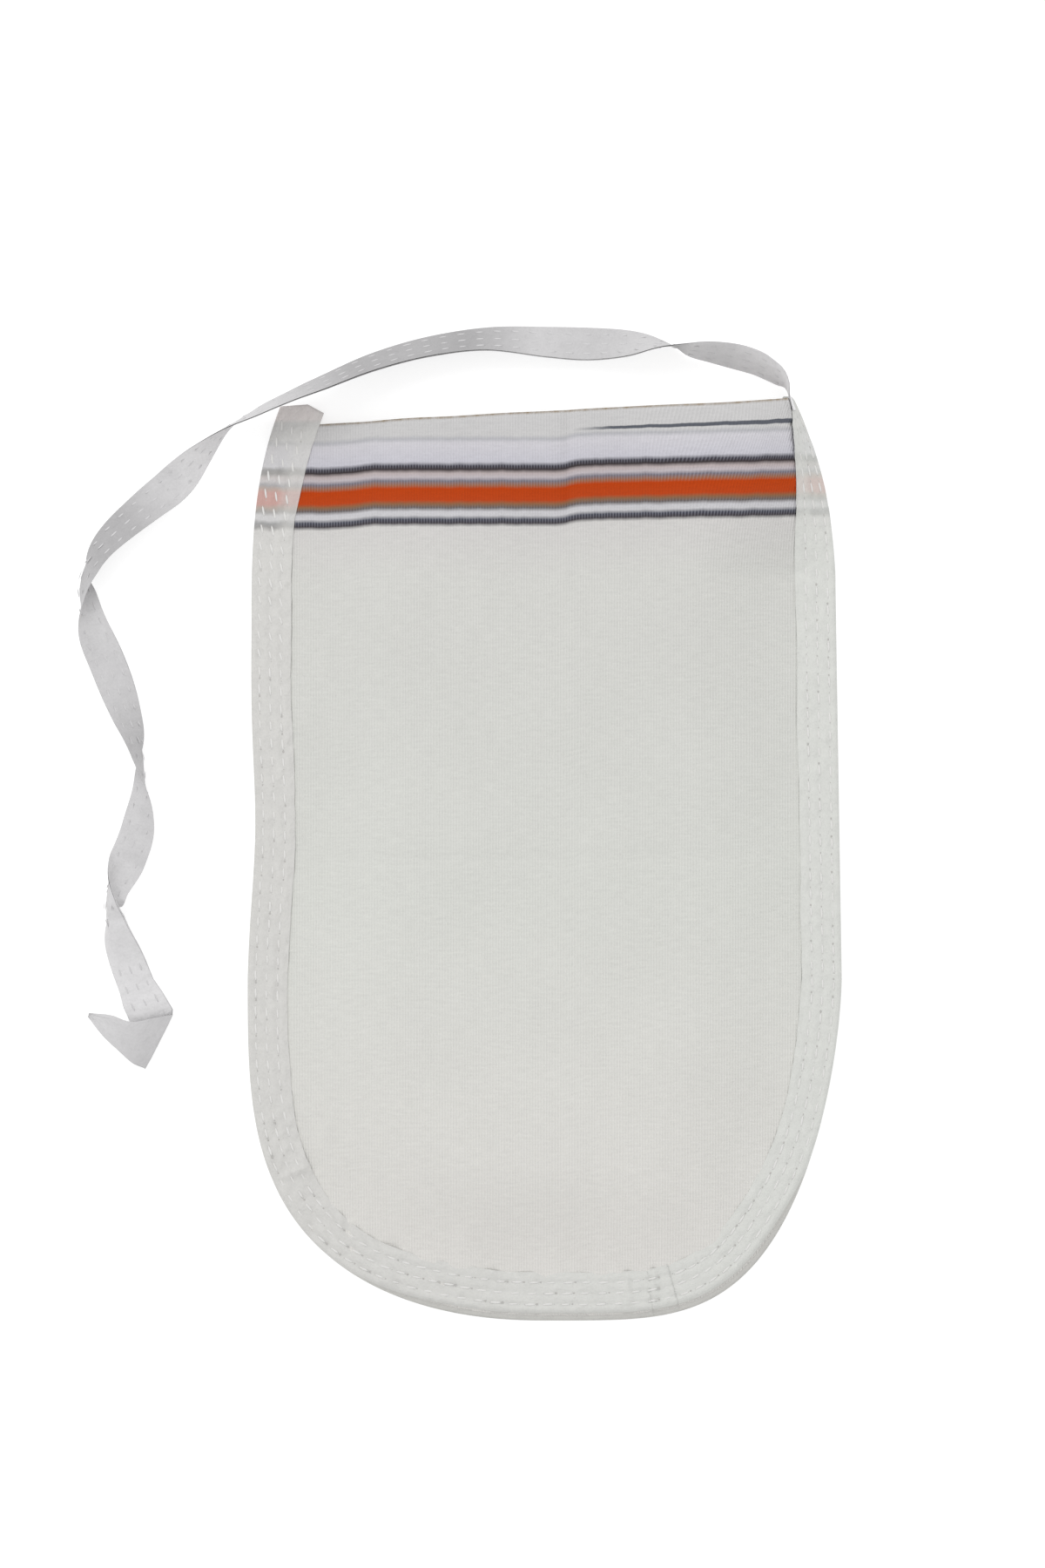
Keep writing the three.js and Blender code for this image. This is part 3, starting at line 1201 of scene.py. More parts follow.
@dataclass
class BindingTape:
    """One length of the tape, folded over both cloths.

    Args:
        name: The piece's name.
        start: Where it starts along the rim.
        end: Where it ends.
        over: How far it is lifted over the other length, at its end.
        stub: Whether its first end runs on past the mouth.
        fold: Points of the fold, each with its share of the slip, its inset as a share of the
            fold's radius, and its drop as a share of the fold's height.
    """

    name: str
    start: float
    end: float
    over: float = 0.0
    stub: bool = False
    step: float = 0.8 * MM
    leg_points: int = 22
    leg_edge: float = 0.985
    back_width: float = 9.6 * MM
    back_points: int = 6
    back_lift: float = 0.4
    fold: tuple = (
        (1, 0.4, 0.1), (1, 0.08, 0.42), (0.8, 0, 0.6), (0.35, 0, 0.66), (0, 0, 0.82), (0, 0.3, 0.97),
    )
    stub_rows: int = 6
    stub_first: float = 0.17
    stub_short: float = 2.2 * MM
    stub_slant: float = 2.9 * MM
    stub_peak: float = 6.5 * MM
    stub_fall: float = 0.7 * MM
    stub_fall_run: float = 4.5 * MM
    stub_middle: float = 1.3 * MM
    stub_close: tuple[float, float] = (0.45, 0.1)

    def profile(self, share: np.ndarray) -> tuple[np.ndarray, np.ndarray, np.ndarray]:
        """Give the section at each place along the rim.

        Args:
            share: Places along the rim.

        Returns:
            Inset, height and distance in from the front's edge, each of places by section points.
        """
        slip = SEAM.slip(share)[:, None]
        end = self.end * RIM.length
        lift = (self.over * smoothstep(share * RIM.length, end - SEAM.lap_length, end))[:, None]
        radius = SEAM.fold_radius
        steps = np.concatenate([[1], np.linspace(self.leg_edge, 0, self.leg_points - 1)])[None, :]
        leg = radius + (SEAM.width(share)[:, None] - radius) * steps
        front = SEAM.front_height(share[:, None], leg) + lift
        back = np.full((len(share), 1), BACK_TAPE_Z) - lift * self.back_lift
        top = front[:, -1:]
        fold_inset = [slip * slipped + radius * turned for slipped, turned, _ in self.fold]
        fold_height = [top - (top - back) * drop for _, _, drop in self.fold]
        steps = np.linspace(0, 1, self.back_points)[None, :]
        back_leg = radius + (self.back_width - radius) * steps + 0 * slip
        inset = np.concatenate([leg + slip, *fold_inset, back_leg], axis=1)
        height = np.concatenate([front, *fold_height, back + 0 * back_leg], axis=1)
        height = SEAM.squeezed(share[:, None], height)
        depth = np.concatenate([leg, *[item - slip for item in fold_inset], back_leg], axis=1)
        return inset, height, depth

    def build(self) -> bpy.types.Object:
        """Make the tape.

        Returns:
            The piece.
        """
        count = int((self.end - self.start) * RIM.length / self.step)
        share = np.linspace(self.start, self.end, count)
        inset, height, depth = self.profile(share)
        points = seam_place(share[:, None], inset, height)
        if self.stub:
            points, depth = self.add_stub(points, depth, inset)
        piece = sheet_mesh(self.name, points, cloth_places(points, depth))
        thicken(piece, TAPE_THICKNESS)
        return piece

    def add_stub(
        self, points: np.ndarray, depth: np.ndarray, inset: np.ndarray
    ) -> tuple[np.ndarray, np.ndarray]:
        """Run the first end on past the mouth, with its end cut on a slant.

        Args:
            points: The tape's points.
            depth: Their distance in from the front's edge.
            inset: Their distance in from the rim.

        Returns:
            The points and the distances with the stub's rows before them.
        """
        _, inward = RIM.at(np.array([self.start]))
        onward = np.array([-inward[0, 1], inward[0, 0], 0.0])
        reach = self.stub_short + self.stub_slant * np.minimum(1, inset[0] / self.stub_peak)
        fall = np.maximum(0, (inset[0] - self.stub_peak) / self.stub_fall_run)
        reach = reach - self.stub_fall * fall
        parts = np.linspace(1, self.stub_first, self.stub_rows)
        extra = np.array([points[0] + onward * (reach * part)[:, None] for part in parts])
        close = np.linspace(*self.stub_close, self.stub_rows)[:, None]
        extra[..., 2] += (self.stub_middle - extra[..., 2]) * close
        first = np.repeat(depth[:1], self.stub_rows, axis=0)
        return np.concatenate([extra, points]), np.concatenate([first, depth])


# ---------------------------------------------------------------- cloth


CREASE_ROOT_Y = 100 * MM
# The mouth edge: x and y in millimetres
MOUTH = ((-68.4, 109.8), (-45, 110.6), (-28.1, 111.5), (6, 113.4), (45, 115.4), (66, 116.6))


@dataclass
class ClothPanel:
    """One of the two cloths of the pouch.

    Args:
        name: The piece's name.
        side: Which way it faces.
        drop: How far its mouth edge lies below the other's.
    """

    name: str
    side: Side
    drop: float = 0.0
    cell: float = 1.35 * MM
    grid_half_width: float = 77 * MM
    grid_length: float = 235 * MM
    edge_inset: float = 1.3 * MM
    floor_gap: float = 0.02 * MM
    mouth_swell: Swell = Swell(0.25 * MM, 16 * MM, 1, 21.5)
    swells: tuple = (Swell(0.45 * MM, 34 * MM, 40 * MM, 2.5), Swell(0.12 * MM, 9 * MM, 15 * MM, 4.5))
    crease_depth: float = 0.7 * MM
    crease_x: float = 5.5 * MM
    crease_slope: float = 0.02
    crease_half_width: float = 1.3 * MM
    crease_above: tuple[float, float] = (76 * MM, 92 * MM)
    fold_depth: float = 0.25 * MM
    fold_y: float = -1.2 * MM
    fold_slope: float = 0.01
    fold_half_width: float = 1.6 * MM
    gather: Swell = Swell(1 * MM, 7 * MM, 22 * MM, 6.5)
    gather_starts: tuple[float, float] = (9 * MM, 11 * MM)
    gather_ends: tuple[float, float] = (14 * MM, 30 * MM)
    gather_share: float = 0.15
    gather_more: float = 0.25
    gather_more_below: tuple[float, float] = (40 * MM, 90 * MM)

    def mouth_y(self, x: np.ndarray) -> np.ndarray:
        """Give the mouth edge's y at each x."""
        known = np.array(MOUTH) * MM
        return np.interp(x, known[:, 0], known[:, 1]) - self.drop + self.mouth_swell.at(x)

    def height(self, points: np.ndarray, inset: np.ndarray) -> np.ndarray:
        """Give the height of the cloth's middle above the table, before the corner rolls.

        Args:
            points: Points of the plane.
            inset: Their distances in from the rim.

        Returns:
            The heights.
        """
        rise = smoothstep(inset, TAPE_WIDTH - 1 * MM, TAPE_WIDTH + POCKET_SHOULDER)
        if self.side is Side.BACK:
            low = CLOTH_THICKNESS / 2 + self.floor_gap
            return BACK_CLOTH_Z + (low - BACK_CLOTH_Z) * rise
        x, y = points[..., 0], points[..., 1]
        crease_x = self.crease_x + self.crease_slope * (y - CREASE_ROOT_Y)
        crease = np.exp(-(((x - crease_x) / self.crease_half_width) ** 2)) * smoothstep(y, *self.crease_above)
        fold = np.exp(-(((y - self.fold_y - self.fold_slope * x) / self.fold_half_width) ** 2))
        near = smoothstep(inset, *self.gather_starts) * (1 - smoothstep(inset, *self.gather_ends))
        strength = self.gather_share + self.gather_more * smoothstep(-y, *self.gather_more_below)
        swell = sum(layer.at(x, y) for layer in self.swells)
        dent = self.fold_depth * fold + self.crease_depth * crease
        height = FRONT_CLOTH_Z + (POCKET_TOP_Z - FRONT_CLOTH_Z) * rise
        return height + (swell - dent) * rise + self.gather.at(x, y) * near * strength

    def build(self) -> bpy.types.Object:
        """Make the panel: a grid under the mouth edge, its border drawn on to the rim.

        Returns:
            The piece.
        """
        columns = np.arange(-self.grid_half_width, self.grid_half_width, self.cell)
        rows = np.arange(0, self.grid_length, self.cell)
        x, s = np.meshgrid(columns, rows)
        points = np.stack([x, self.mouth_y(x) - s], axis=-1)
        share, inset = RIM.nearest(points)
        border = self.edge_inset + SEAM.slip(share) * (self.side is Side.FRONT)
        inside, limit = (
            block[:-1, :-1] + block[1:, :-1] + block[:-1, 1:] + block[1:, 1:] for block in (inset, border)
        )
        kept = inside > limit
        used = np.zeros(x.shape, int)
        for shift_r, shift_c in ((0, 0), (1, 0), (0, 1), (1, 1)):
            used[shift_r:shift_r + kept.shape[0], shift_c:shift_c + kept.shape[1]] += kept
        edge = (used > 0) & (used < 4)
        edge[0] = used[0] == 1
        base, inward = RIM.at(share)
        snapped = base + inward * border[..., None]
        top_row = edge.copy()
        top_row[1:] = False
        snapped[top_row, 1] = points[top_row, 1]
        points[edge] = snapped[edge]
        share, inset = RIM.nearest(points)
        height = self.height(points, inset)
        lifted = seam_place(share, inset, height)
        base, inward = RIM.at(share)
        flat = base + inward * inset[..., None]
        placed = np.concatenate([points + lifted[..., :2] - flat, lifted[..., 2:]], axis=-1)
        below = self.mouth_y(points[..., 0]) - points[..., 1]
        return self.mesh(placed, cloth_places(points, below), kept, used > 0)

    def mesh(
        self, points: np.ndarray, places: np.ndarray, kept: np.ndarray, used: np.ndarray
    ) -> bpy.types.Object:
        """Make the mesh of the kept cells.

        Args:
            points: The grid's points.
            places: Where they lie on the cloth.
            kept: Whether each cell is kept.
            used: Whether each point is a corner of a kept cell.

        Returns:
            The piece.
        """
        number = np.cumsum(used.ravel()).reshape(used.shape) - 1
        faces = []
        for r, c in zip(*np.nonzero(kept)):
            corners = (number[r, c], number[r + 1, c], number[r + 1, c + 1], number[r, c + 1])
            faces.append(tuple(int(index) for index in corners))
        mesh = bpy.data.meshes.new(self.name)
        mesh.from_pydata(points[used].tolist(), [], faces)
        write_places(mesh, places[used])
        piece = link(self.name, mesh)
        thicken(piece, CLOTH_THICKNESS)
        return piece


# ---------------------------------------------------------------- stitches


GRAIN_ALONG = "grain_along"
GRAIN_UP = "grain_up"
NEEDLE_GRAIN = (2.9 * MM, 0.55 * MM, 0.42 * MM)
BOBBIN_GRAIN = (2.9 * MM, 0.55 * MM, 0.16 * MM)
STRAP_GRAIN = (2.2 * MM, 0.45 * MM, 0.16 * MM)
HOLE_GRAIN = (0.6 * MM, 0.5 * MM, 0.1 * MM)
LEAST_GRAIN = 0.86
MOST_GRAIN = 1.12


class GrainSower:
    """A node tree that lays one rounded grain of thread at each point of a mesh."""

    def __init__(self) -> None:
        """Build the node tree once."""
        tree = bpy.data.node_groups.new("grain_sower", "GeometryNodeTree")
        kinds = {
            "Geometry": "Geometry", "Length": "Float", "Width": "Float", "Height": "Float",
            "Seed": "Int", "Material": "Material",
        }
        for name, kind in kinds.items():
            tree.interface.new_socket(name, in_out="INPUT", socket_type=f"NodeSocket{kind}")
        tree.interface.new_socket("Geometry", in_out="OUTPUT", socket_type="NodeSocketGeometry")
        bench = Bench(tree)
        given = bench.add("NodeGroupInput")
        grain = bench.add("GeometryNodeMeshUVSphere", {"Segments": 8, "Rings": 5, "Radius": 0.5})
        along, up = (
            bench.add("GeometryNodeInputNamedAttribute", {"Name": name}, data_type="FLOAT_VECTOR").outputs[0]
            for name in (GRAIN_ALONG, GRAIN_UP)
        )
        first = bench.add("FunctionNodeAlignRotationToVector", {"Vector": along}, axis="X")
        turned = bench.add(
            "FunctionNodeAlignRotationToVector", {"Rotation": first.outputs[0], "Vector": up},
            axis="Z", pivot_axis="X",
        )
        size = bench.add("ShaderNodeCombineXYZ", {i: given.outputs[i + 1] for i in range(3)})
        vary = bench.add("FunctionNodeRandomValue", {"Seed": given.outputs["Seed"]}, data_type="FLOAT")
        vary.inputs[2].default_value = LEAST_GRAIN
        vary.inputs[3].default_value = MOST_GRAIN
        scale = bench.add("ShaderNodeVectorMath", {0: size.outputs[0], 3: vary.outputs[1]}, operation="SCALE")
        sown = bench.add("GeometryNodeInstanceOnPoints", {
            "Points": given.outputs["Geometry"], "Instance": grain.outputs[0],
            "Rotation": turned.outputs[0], "Scale": scale.outputs[0],
        })
        real = bench.add("GeometryNodeRealizeInstances", {"Geometry": sown.outputs[0]})
        painted = bench.add("GeometryNodeSetMaterial", {
            "Geometry": real.outputs[0], "Material": given.outputs["Material"],
        })
        bench.add("NodeGroupOutput", {"Geometry": painted.outputs[0]})
        self.tree = tree
        self.keys = {
            item.name: item.identifier for item in tree.interface.items_tree if item.in_out == "INPUT"
        }

    def sow(self, name: str, spots: Spots, size: tuple[float, float, float], seed: int,
            material: bpy.types.Material) -> bpy.types.Object:
        """Lay the grains and give them as one plain mesh.

        Args:
            name: The piece's name.
            spots: Where the grains lie and how they are turned.
            size: Length, width and height of a grain.
            seed: Which random sizes are drawn.
            material: The grains' material.

        Returns:
            The piece.
        """
        mesh = bpy.data.meshes.new(name)
        mesh.from_pydata(spots.centre.tolist(), [], [])
        for key, data in ((GRAIN_ALONG, spots.along), (GRAIN_UP, spots.up)):
            attribute = mesh.attributes.new(key, "FLOAT_VECTOR", "POINT")
            attribute.data.foreach_set("vector", data.reshape(-1).astype(np.float32))
        piece = bpy.data.objects.new(name, mesh)
        bpy.context.scene.collection.objects.link(piece)
        modifier = piece.modifiers.new("grains", "NODES")
        modifier.node_group = self.tree
        values = {"Length": size[0], "Width": size[1], "Height": size[2], "Seed": seed, "Material": material}
        for key, value in values.items():
            modifier[self.keys[key]] = value
        bpy.context.view_layer.update()
        graph = bpy.context.evaluated_depsgraph_get()
        plain = bpy.data.meshes.new_from_object(piece.evaluated_get(graph), depsgraph=graph)
        piece.modifiers.clear()
        piece.data = plain
        plain.name = name
        for face in plain.polygons:
            face.use_smooth = True
        return piece


@dataclass
class Spots:
    """Places for grains of thread."""

    centre: np.ndarray
    along: np.ndarray
    up: np.ndarray

    def moved(self, along: float, up: float) -> Spots:
        """Give the same spots shifted along the thread and off the cloth."""
        return Spots(self.centre + self.along * along + self.up * up, self.along, self.up)

    def joined(self, other: Spots) -> Spots:
        """Give these spots and another's together."""
        pairs = [np.concatenate(pair) for pair in zip(vars(self).values(), vars(other).values())]
        return Spots(*pairs)


def unit(vectors: np.ndarray) -> np.ndarray:
    """Give vectors of length 1."""
    return vectors / np.maximum(np.linalg.norm(vectors, axis=-1, keepdims=True), 1e-12)


@dataclass
class SeamRow:
    """One row of stitches round the rim.

    Args:
        inset: The row's distance in from the front's edge.
        side: The face of the seam it shows on.
        seed: Which small wanderings it has.
    """

    inset: float
    side: Side
    seed: float
    stagger: float = 0.3
    wander: float = 0.16 * MM
    wander_reach: float = 9 * MM
    slant: float = 0.06
    left_slant: float = 0.28
    left_slant_above: float = 50 * MM
    half_grain: float = 0.3 * STITCH_PITCH
    rise: float = 0.02 * MM
    probe: float = 0.5 * MM

    def place(self, share: np.ndarray, inset: np.ndarray, rise: float) -> np.ndarray:
        """Place points on the seam's face.

        Args:
            share: Places along the rim.
            inset: Distances in from the front's edge.
            rise: How far off the face they lie.

        Returns:
            The points.
        """
        if self.side is Side.BACK:
            height = np.full_like(share, BACK_TAPE_Z - TAPE_THICKNESS / 2 - rise)
        else:
            height = SEAM.front_height(share, inset) + TAPE_THICKNESS / 2 + rise
            inset = inset + SEAM.slip(share)
        return seam_place(share, inset, SEAM.squeezed(share, height))

    def spots(self) -> Spots:
        """Give the places of the row's stitches.

        Returns:
            The places.
        """
        count = int(RIM.length / STITCH_PITCH)
        share = (np.arange(count) + 0.5 + self.stagger * (self.seed % 1)) / (count + 0.5)
        share = share[share < SEAM.right_end() - 0.5 * STITCH_PITCH / RIM.length]
        inset = self.inset + Swell(self.wander, self.wander_reach, 1, self.seed).at(share * RIM.length)
        x, y = RIM.line(share)
        slant = np.where((x < 0) & (y > self.left_slant_above), self.left_slant, self.slant)
        step = self.half_grain
        ahead = self.place(share + step / RIM.length, inset + slant * step, 0)
        behind = self.place(share - step / RIM.length, inset - slant * step, 0)
        centre = self.place(share, inset, self.rise)
        up = self.place(share, inset, self.probe) - self.place(share, inset, 0)
        return Spots(centre, unit(ahead - behind), unit(up))


# ---------------------------------------------------------------- strap


# The strap's middle line: x, y, clearance under it, and its turn about its own length in degrees
STRAP_ROUTE = (
    (64.0, 113.4, 0.6, 102), (62.6, 117.0, 0.6, 96), (61.7, 120.0, 0.6, 84), (60.0, 121.9, 0.6, 68),
    (57.4, 123.7, 0.5, 60), (54.2, 125.5, 0.4, 54), (49.1, 127.1, 0.2, 52), (42.9, 128.3, 0.2, 60),
    (37.7, 128.9, 0.2, 72), (33.9, 129.7, 0.2, 90), (29.0, 130.4, 0.2, 110), (21.6, 130.6, 0.2, 140),
    (11.1, 130.6, 0.2, 158), (1.0, 131.0, 0.2, 152), (-15.1, 131.8, 0.2, 134), (-30.3, 129.8, 0.4, 128),
    (-44.2, 125.8, 1.5, 124), (-57.2, 120.0, 3.6, 118), (-65.0, 116.6, 4.2, 112), (-73.6, 112.9, 2.6, 107),
    (-81.4, 108.8, 0.8, 90), (-89.0, 101.8, 0.2, 52), (-95.2, 95.0, 0.2, 8), (-102.4, 88.8, 0.2, -18),
    (-109.9, 82.2, 0.2, -34), (-116.6, 75.2, 0.2, -56), (-119.3, 69.0, 0.2, -90), (-118.0, 62.0, 0.2, -132),
    (-112.4, 49.1, 0.2, -172), (-107.2, 35.7, 0.2, -140), (-102.6, 23.2, 0.2, -90), (-104.0, 7.7, 0.2, -26),
    (-107.3, -2.0, 0.2, 0), (-111.8, -9.5, 0.2, 50), (-112.3, -17.0, 0.2, 120), (-107.9, -26.5, 0.2, 165),
    (-104.9, -34.0, 0.2, 180),
)
# Its folded end: x and y of both edges, height, and how far it has turned over in degrees
STRAP_FLAP = (
    (-108.3, -39.5, -98.2, -35.6, 0.2, 0), (-106.2, -44.5, -95.8, -39.6, 0.25, 0),
    (-104.0, -52.2, -95.6, -40.2, 0.3, 15), (-102.8, -55.1, -95.7, -41.3, 0.6, 60),
    (-102.7, -55.3, -95.6, -41.4, 1.0, 100), (-103.1, -55.0, -96.0, -41.4, 1.5, 145),
    (-105.9, -53.7, -100.3, -42.2, 1.9, 180), (-109.4, -50.6, -106.2, -43.2, 1.8, 180),
    (-113.4, -46.9, -111.4, -41.5, 1.3, 180), (-117.3, -42.0, -117.0, -41.0, 0.9, 180),
)


@dataclass
class Strap:
    """The tape past the mouth: two leaves closed along one edge, twisting as it lies.

    Args:
        name: The piece's name.
        width: Its width when flat.
    """

    name: str
    width: float = 9.4 * MM
    length: float = 0.351
    step: float = 1.1 * MM
    route_steps: int = 24
    flap_steps: int = 5
    wall: float = 0.2 * MM
    thin_wall: float = 0.3
    wall_rise: float = 5
    leaf_edge_share: float = 0.04
    floor_gap: float = 0.12 * MM
    leaf_points: tuple = (-1, -0.97, -0.6, -0.2, 0.2, 0.6, 0.97, 1)
    inner_shift: float = 0.0225
    inner_share: float = 0.9625
    low_share: float = 0.97
    leaf_gap: float = 0.02 * MM
    loose: float = 0.12
    loose_swell: Swell = Swell(0.12, 26 * MM, 1, 31.5)
    loose_least: float = 0.05
    loose_at_end: float = 0.8
    closed_at_root: float = 0.6
    end_run: float = 14 * MM
    curl: Swell = Swell(0.5 * MM, 33 * MM, 1, 41.5)
    turnovers: tuple = (
        (-119.3 * MM, 69.0 * MM, 9 * MM, -1.6), (-102.6 * MM, 23.2 * MM, 7 * MM, 0.8),
        (-112.2 * MM, -13.5 * MM, 9 * MM, 1.7),
    )
    stitch_rows: tuple = (-0.58, 0.02, 0.6)
    stitches_start: float = 10 * MM
    stitches_stop: float = 25 * MM

    def __post_init__(self) -> None:
        """Run a smooth line through the route and find the strap's way at each step."""
        known = np.array(STRAP_ROUTE, float)
        known[:, :3] *= MM
        known[:, 3] = np.radians(known[:, 3])
        fine = self.smooth(known, self.route_steps)
        reach = np.linalg.norm(np.diff(fine[:, :2], axis=0), axis=1)
        travelled = np.concatenate([[0], np.cumsum(reach)])
        count = int(travelled[-1] / self.step)
        self.along = np.linspace(0, travelled[-1], count)
        even = np.stack([np.interp(self.along, travelled, fine[:, k]) for k in range(4)], axis=1)
        turn = even[:, 3:]
        lift = (np.abs(np.sin(even[:, 3])) * self.width + 4 * self.wall) / 2
        self.centre = np.stack([even[:, 0], even[:, 1], even[:, 2] + lift], axis=1)
        ahead = unit(np.gradient(self.centre, axis=0))
        level = unit(np.cross(ahead, (0, 0, 1)))
        self.across = level * np.cos(turn) + np.cross(level, ahead) * np.sin(turn)
        self.up = np.cross(self.across, ahead)
        self.spread = np.ones(count)
        self.add_flap()
        self.ahead = unit(np.gradient(self.centre, axis=0))
        reach = np.linalg.norm(np.diff(self.centre, axis=0), axis=1)
        self.along = np.concatenate([[0], np.cumsum(reach)])

    def add_flap(self) -> None:
        """Fold the end of the strap back over itself along a slanting line."""
        rings = self.smooth(np.array(STRAP_FLAP, float), self.flap_steps)
        left = np.column_stack([rings[:, 0:2], rings[:, 4]]) * MM
        right = np.column_stack([rings[:, 2:4], rings[:, 4]]) * MM
        centre = (left + right) / 2 + (0, 0, 2 * self.wall)
        over = np.radians(np.clip(rings[:, 5:], 0, 180))
        across = unit(right - left)
        outward = np.column_stack([-across[:, 1], across[:, 0], 0 * across[:, 0]])
        up = outward * -np.sin(over) - np.array([0, 0, 1]) * np.cos(over)
        self.centre = np.concatenate([self.centre, centre])
        self.across = np.concatenate([self.across, across])
        self.up = np.concatenate([self.up, up])
        spread = np.linalg.norm(right - left, axis=1) / self.width
        self.spread = np.concatenate([self.spread, spread])

    @staticmethod
    def smooth(known: np.ndarray, steps: int) -> np.ndarray:
        """Pass a rounded line through known points.

        Args:
            known: Points, one to a row.
            steps: New points between two known ones.

        Returns:
            The points of the line.
        """
        padded = np.concatenate([2 * known[:1] - known[1:2], known, 2 * known[-1:] - known[-2:-1]])
        t = np.linspace(0, 1, steps, endpoint=False)[:, None]
        spans = []
        for p0, p1, p2, p3 in zip(padded, padded[1:], padded[2:], padded[3:]):
            curve = (2 * p1 + (p2 - p0) * t + (2 * p0 - 5 * p1 + 4 * p2 - p3) * t**2
                     + (3 * p1 - p0 - 3 * p2 + p3) * t**3) / 2
            spans.append(curve)
        return np.concatenate([*spans, known[-1:]])

    def bend(self) -> np.ndarray:
        """Give how sharply the strap is creased along its middle at each step, as an angle.

        Returns:
            The angles.
        """
        total = np.zeros_like(self.along)
        for x, y, reach, angle in self.turnovers:
            place = self.along[np.argmin(np.hypot(self.centre[:, 0] - x, self.centre[:, 1] - y))]
            total = total + angle * np.exp(-(((self.along - place) / reach) ** 2))
        return total

    def opening(self) -> np.ndarray:
        """Give how far the two leaves stand apart at their free edge.

        Returns:
            The distances, one to a step.
        """
        loose = np.maximum(self.loose_least, self.loose + self.loose_swell.at(self.along))
        root = 1 - smoothstep(self.along, 0, self.end_run)
        end = smoothstep(self.along, self.along[-1] - self.end_run, self.along[-1])
        return (loose * (1 - self.closed_at_root * root) + self.loose_at_end * end) * MM

    def section(self, u: np.ndarray, v: np.ndarray) -> np.ndarray:
        """Place section points at every step.

        Args:
            u: Distances across, of steps by points.
            v: Distances off the middle, of steps by points.

        Returns:
            Points of steps by points by 3.
        """
        half = self.bend()[:, None] / 2
        lean = (u / (self.width / 2)) ** 2 * self.curl.at(self.along)[:, None]
        cross = u * np.cos(half) * self.spread[:, None]
        off = v + lean + np.abs(u) * np.sin(half)
        sideways = self.across[:, None] * cross[..., None]
        return self.centre[:, None] + sideways + self.up[:, None] * off[..., None]

    def ring(self) -> tuple[np.ndarray, np.ndarray]:
        """Give the section's points, once round both leaves.

        Returns:
            Distances across and off the middle, each of steps by points.
        """
        half = self.width / 2
        gap = self.opening()[:, None] / 2
        steps = np.array(self.leaf_points)[None, :]
        inner = self.inner_shift + self.inner_share * steps
        open_share, open_inner = ((item + 1) / 2 for item in (steps, inner))
        from_edge = np.minimum(open_share, 1 + self.leaf_edge_share - open_share)
        wall = self.wall * (self.thin_wall + (1 - self.thin_wall) * np.minimum(1, self.wall_rise * from_edge))
        low = half * self.low_share
        top_out = (steps * half, gap * open_share + wall)
        top_in = (inner[:, ::-1] * half, (gap * open_inner + self.leaf_gap)[:, ::-1])
        low_in = (inner * low, -gap * open_inner - self.leaf_gap)
        low_out = (steps[:, ::-1] * low, (-gap * open_share - wall)[:, ::-1])
        parts = [top_out, top_in, low_in, low_out]
        size = (len(self.along), len(self.leaf_points))
        u = np.concatenate([np.broadcast_to(part[0], size) for part in parts], axis=1)
        v = np.concatenate([np.broadcast_to(part[1], size) for part in parts], axis=1)
        return u, v

    def build(self) -> bpy.types.Object:
        """Make the strap.

        Returns:
            The piece.
        """
        u, v = self.ring()
        points = self.section(u, v)
        points[..., 2] += np.maximum(0, self.floor_gap - points[..., 2].min(axis=1))[:, None]
        rows, columns = points.shape[:2]
        faces = [face[::-1] for face in grid_faces(rows, columns, ring=True)]
        faces.append(tuple(range(columns)))
        faces.append(tuple((rows - 1) * columns + c for c in range(columns - 1, -1, -1)))
        mesh = bpy.data.meshes.new(self.name)
        mesh.from_pydata(points.reshape(-1, 3).tolist(), [], faces)
        along = np.broadcast_to(self.along[:, None], u.shape)
        write_places(mesh, np.stack([along, u, v], axis=-1) / MM)
        return link(self.name, mesh)

    def spots(self) -> Spots:
        """Give the places of the stitches that run on along the strap, on both faces.

        Returns:
            The places.
        """
        half = self.width / 2
        found = None
        for row in self.stitch_rows:
            for face in (1, -1):
                u = np.full((len(self.along), 1), row * half)
                gap = self.opening()[:, None] / 2 * (row + 1) / 2
                base = self.section(u, face * (gap + self.wall))[:, 0]
                above = self.section(u, face * (gap + 2 * self.wall))[:, 0]
                at = np.arange(self.stitches_start, self.along[-1] - self.stitches_stop, STITCH_PITCH)
                centre, top, ahead = (
                    np.stack([np.interp(at, self.along, line[:, k]) for k in range(3)], axis=1)
                    for line in (base, above, self.ahead)
                )
                spots = Spots(centre, unit(ahead), unit(top - centre))
                found = spots if found is None else found.joined(spots)
        return found


# ---------------------------------------------------------------- assembly


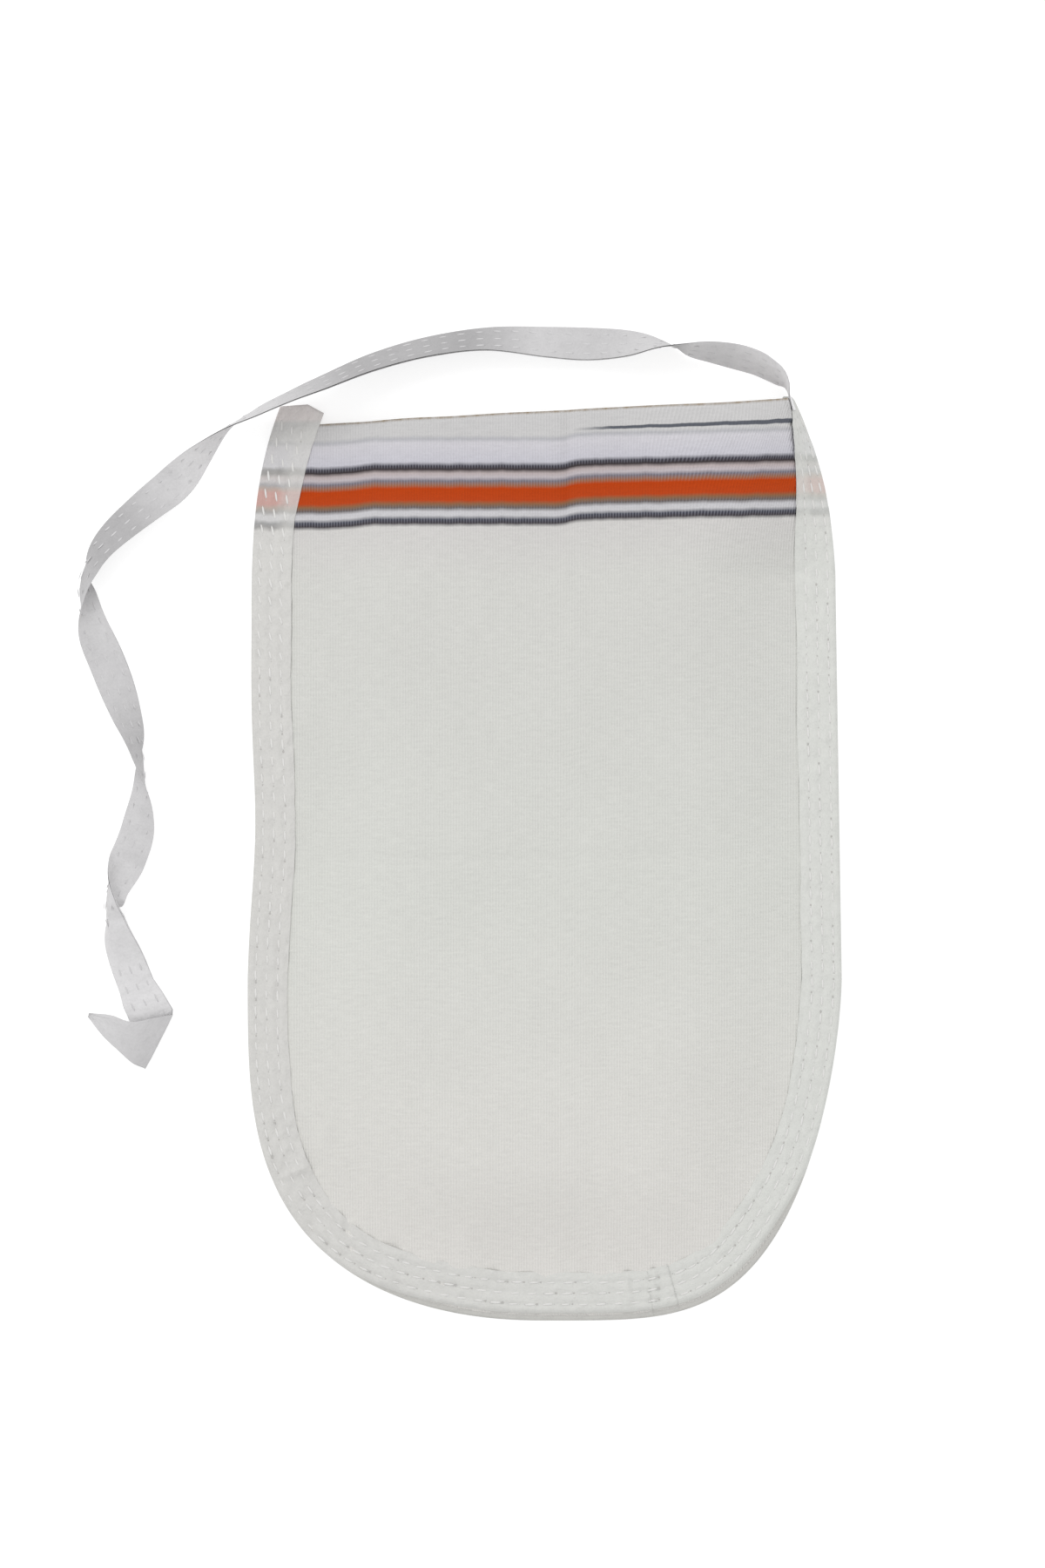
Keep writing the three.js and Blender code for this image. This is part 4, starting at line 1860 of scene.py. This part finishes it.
@dataclass
class BathMitt:
    """Builds every piece in order and hides the CAD parts that each stands for."""

    exit: tuple[float, float, float] = (61.9 * MM, 120.5 * MM, 5.0 * MM)
    bend_run: float = 12 * MM
    back_drop: float = 0.7 * MM
    lap_lift: float = 0.2 * MM
    hole_ahead: float = 1.75 * MM
    hole_depth: float = 0.02 * MM
    row_seed: float = 3.3
    cut_share: float = 0.9
    pieces: dict = field(default_factory=dict)

    def build(self) -> None:
        """Make the strap first, then the cloths, the tapes and the stitches."""
        cloth = StripedCloth("striped_cloth").build()
        tape = BindingCloth("binding_tape").build()
        free_tape = StrapCloth("free_tape").build()
        thread = Thread("thread").build()
        # The needle holes are dark grains of painted shade, for the shade inside each piercing
        hole_shade = Thread("needle_hole", colour=(184, 182, 179)).build()
        faint = Thread("strap_thread", colour=(202, 201, 202)).build()
        sower = GrainSower()
        self.add_strap(sower, free_tape, faint)
        self.add_cloths(cloth)
        self.add_tapes(tape)
        self.add_rows(sower, thread, hole_shade)

    def add_strap(self, sower: GrainSower, finish: bpy.types.Material, thread: bpy.types.Material) -> None:
        """Make the strap and the stitches that run on along it.

        Args:
            sower: Lays the stitches.
            finish: The tape's material.
            thread: The stitches' material.
        """
        strap = Strap("strap_tape")
        piece = strap.build()
        piece.data.materials.append(finish)
        rows = sower.sow("strap_stitches", strap.spots(), STRAP_GRAIN, 5, thread)
        for item, slot_name in ((piece, "binding_tape"), (rows, "sewing_thread")):
            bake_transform(item)
        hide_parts("strap")
        LOG.info("built the strap, %.0f mm long", strap.along[-1] / MM)

    def add_cloths(self, finish: bpy.types.Material) -> None:
        """Make the two cloths.

        Args:
            finish: The cloths' material.
        """
        front = ClothPanel("front_cloth", Side.FRONT)
        back = ClothPanel("back_cloth", Side.BACK, drop=self.back_drop)
        for panel, node in ((front, "front_panel"), (back, "back_panel")):
            piece = panel.build()
            piece.data.materials.append(finish)
            attach(piece, "mitt", "panel_cloth", node)
            self.pieces[node] = piece

    def add_tapes(self, finish: bpy.types.Material) -> None:
        """Make the two lengths of the binding.

        Args:
            finish: The tape's material.
        """
        x = RIM.points[:, 0]
        low = RIM.points[:, 1] < RIM.right.hip_y
        lap = RIM.share_where(low & (x > SEAM.lap_x))
        under = RIM.share_where(low & (x > SEAM.lap_x - SEAM.lap_length))
        lengths = (
            (BindingTape("binding_left_tape", 0.0, lap, over=self.lap_lift, stub=True), "binding_left"),
            (BindingTape("binding_right_tape", under, SEAM.right_end()), "binding_right"),
        )
        for tape, node in lengths:
            piece = tape.build()
            piece.data.materials.append(finish)
            attach(piece, "mitt", "binding_tape", node)

    def add_rows(self, sower: GrainSower, thread: bpy.types.Material, hole_shade: bpy.types.Material) -> None:
        """Make the three rows of stitches on each face of the seam.

        Args:
            sower: Lays the stitches.
            thread: The stitches' material.
            hole_shade: The needle holes' material, a dark grey painted for the shade in them.
        """
        for seed, (name, inset) in enumerate(ROW_INSETS.items()):
            for side, kind in ((Side.FRONT, "needle"), (Side.BACK, "bobbin")):
                spots = SeamRow(inset, side, seed * self.row_seed + side.value).spots()
                size = NEEDLE_GRAIN if side is Side.FRONT else BOBBIN_GRAIN
                piece = sower.sow(f"{kind}_stitches_{name}", spots, size, seed, thread)
                attach(piece, "mitt", "sewing_thread", f"{kind}_thread_{name}")
                if side is Side.FRONT:
                    # Painted shade: a dark grain in each needle piercing, just ahead of its stitch
                    ends = spots.moved(self.hole_ahead, -self.hole_depth)
                    holes = sower.sow(f"needle_holes_{name}", ends, HOLE_GRAIN, seed, hole_shade)
                    attach(holes, "mitt", "sewing_thread")


def main() -> None:
    """Build the studio and the mitt."""
    logging.basicConfig(level=logging.INFO, format="%(name)s: %(message)s")
    Studio().build()
    BathMitt().build()


if __name__ == "__main__":
    main()
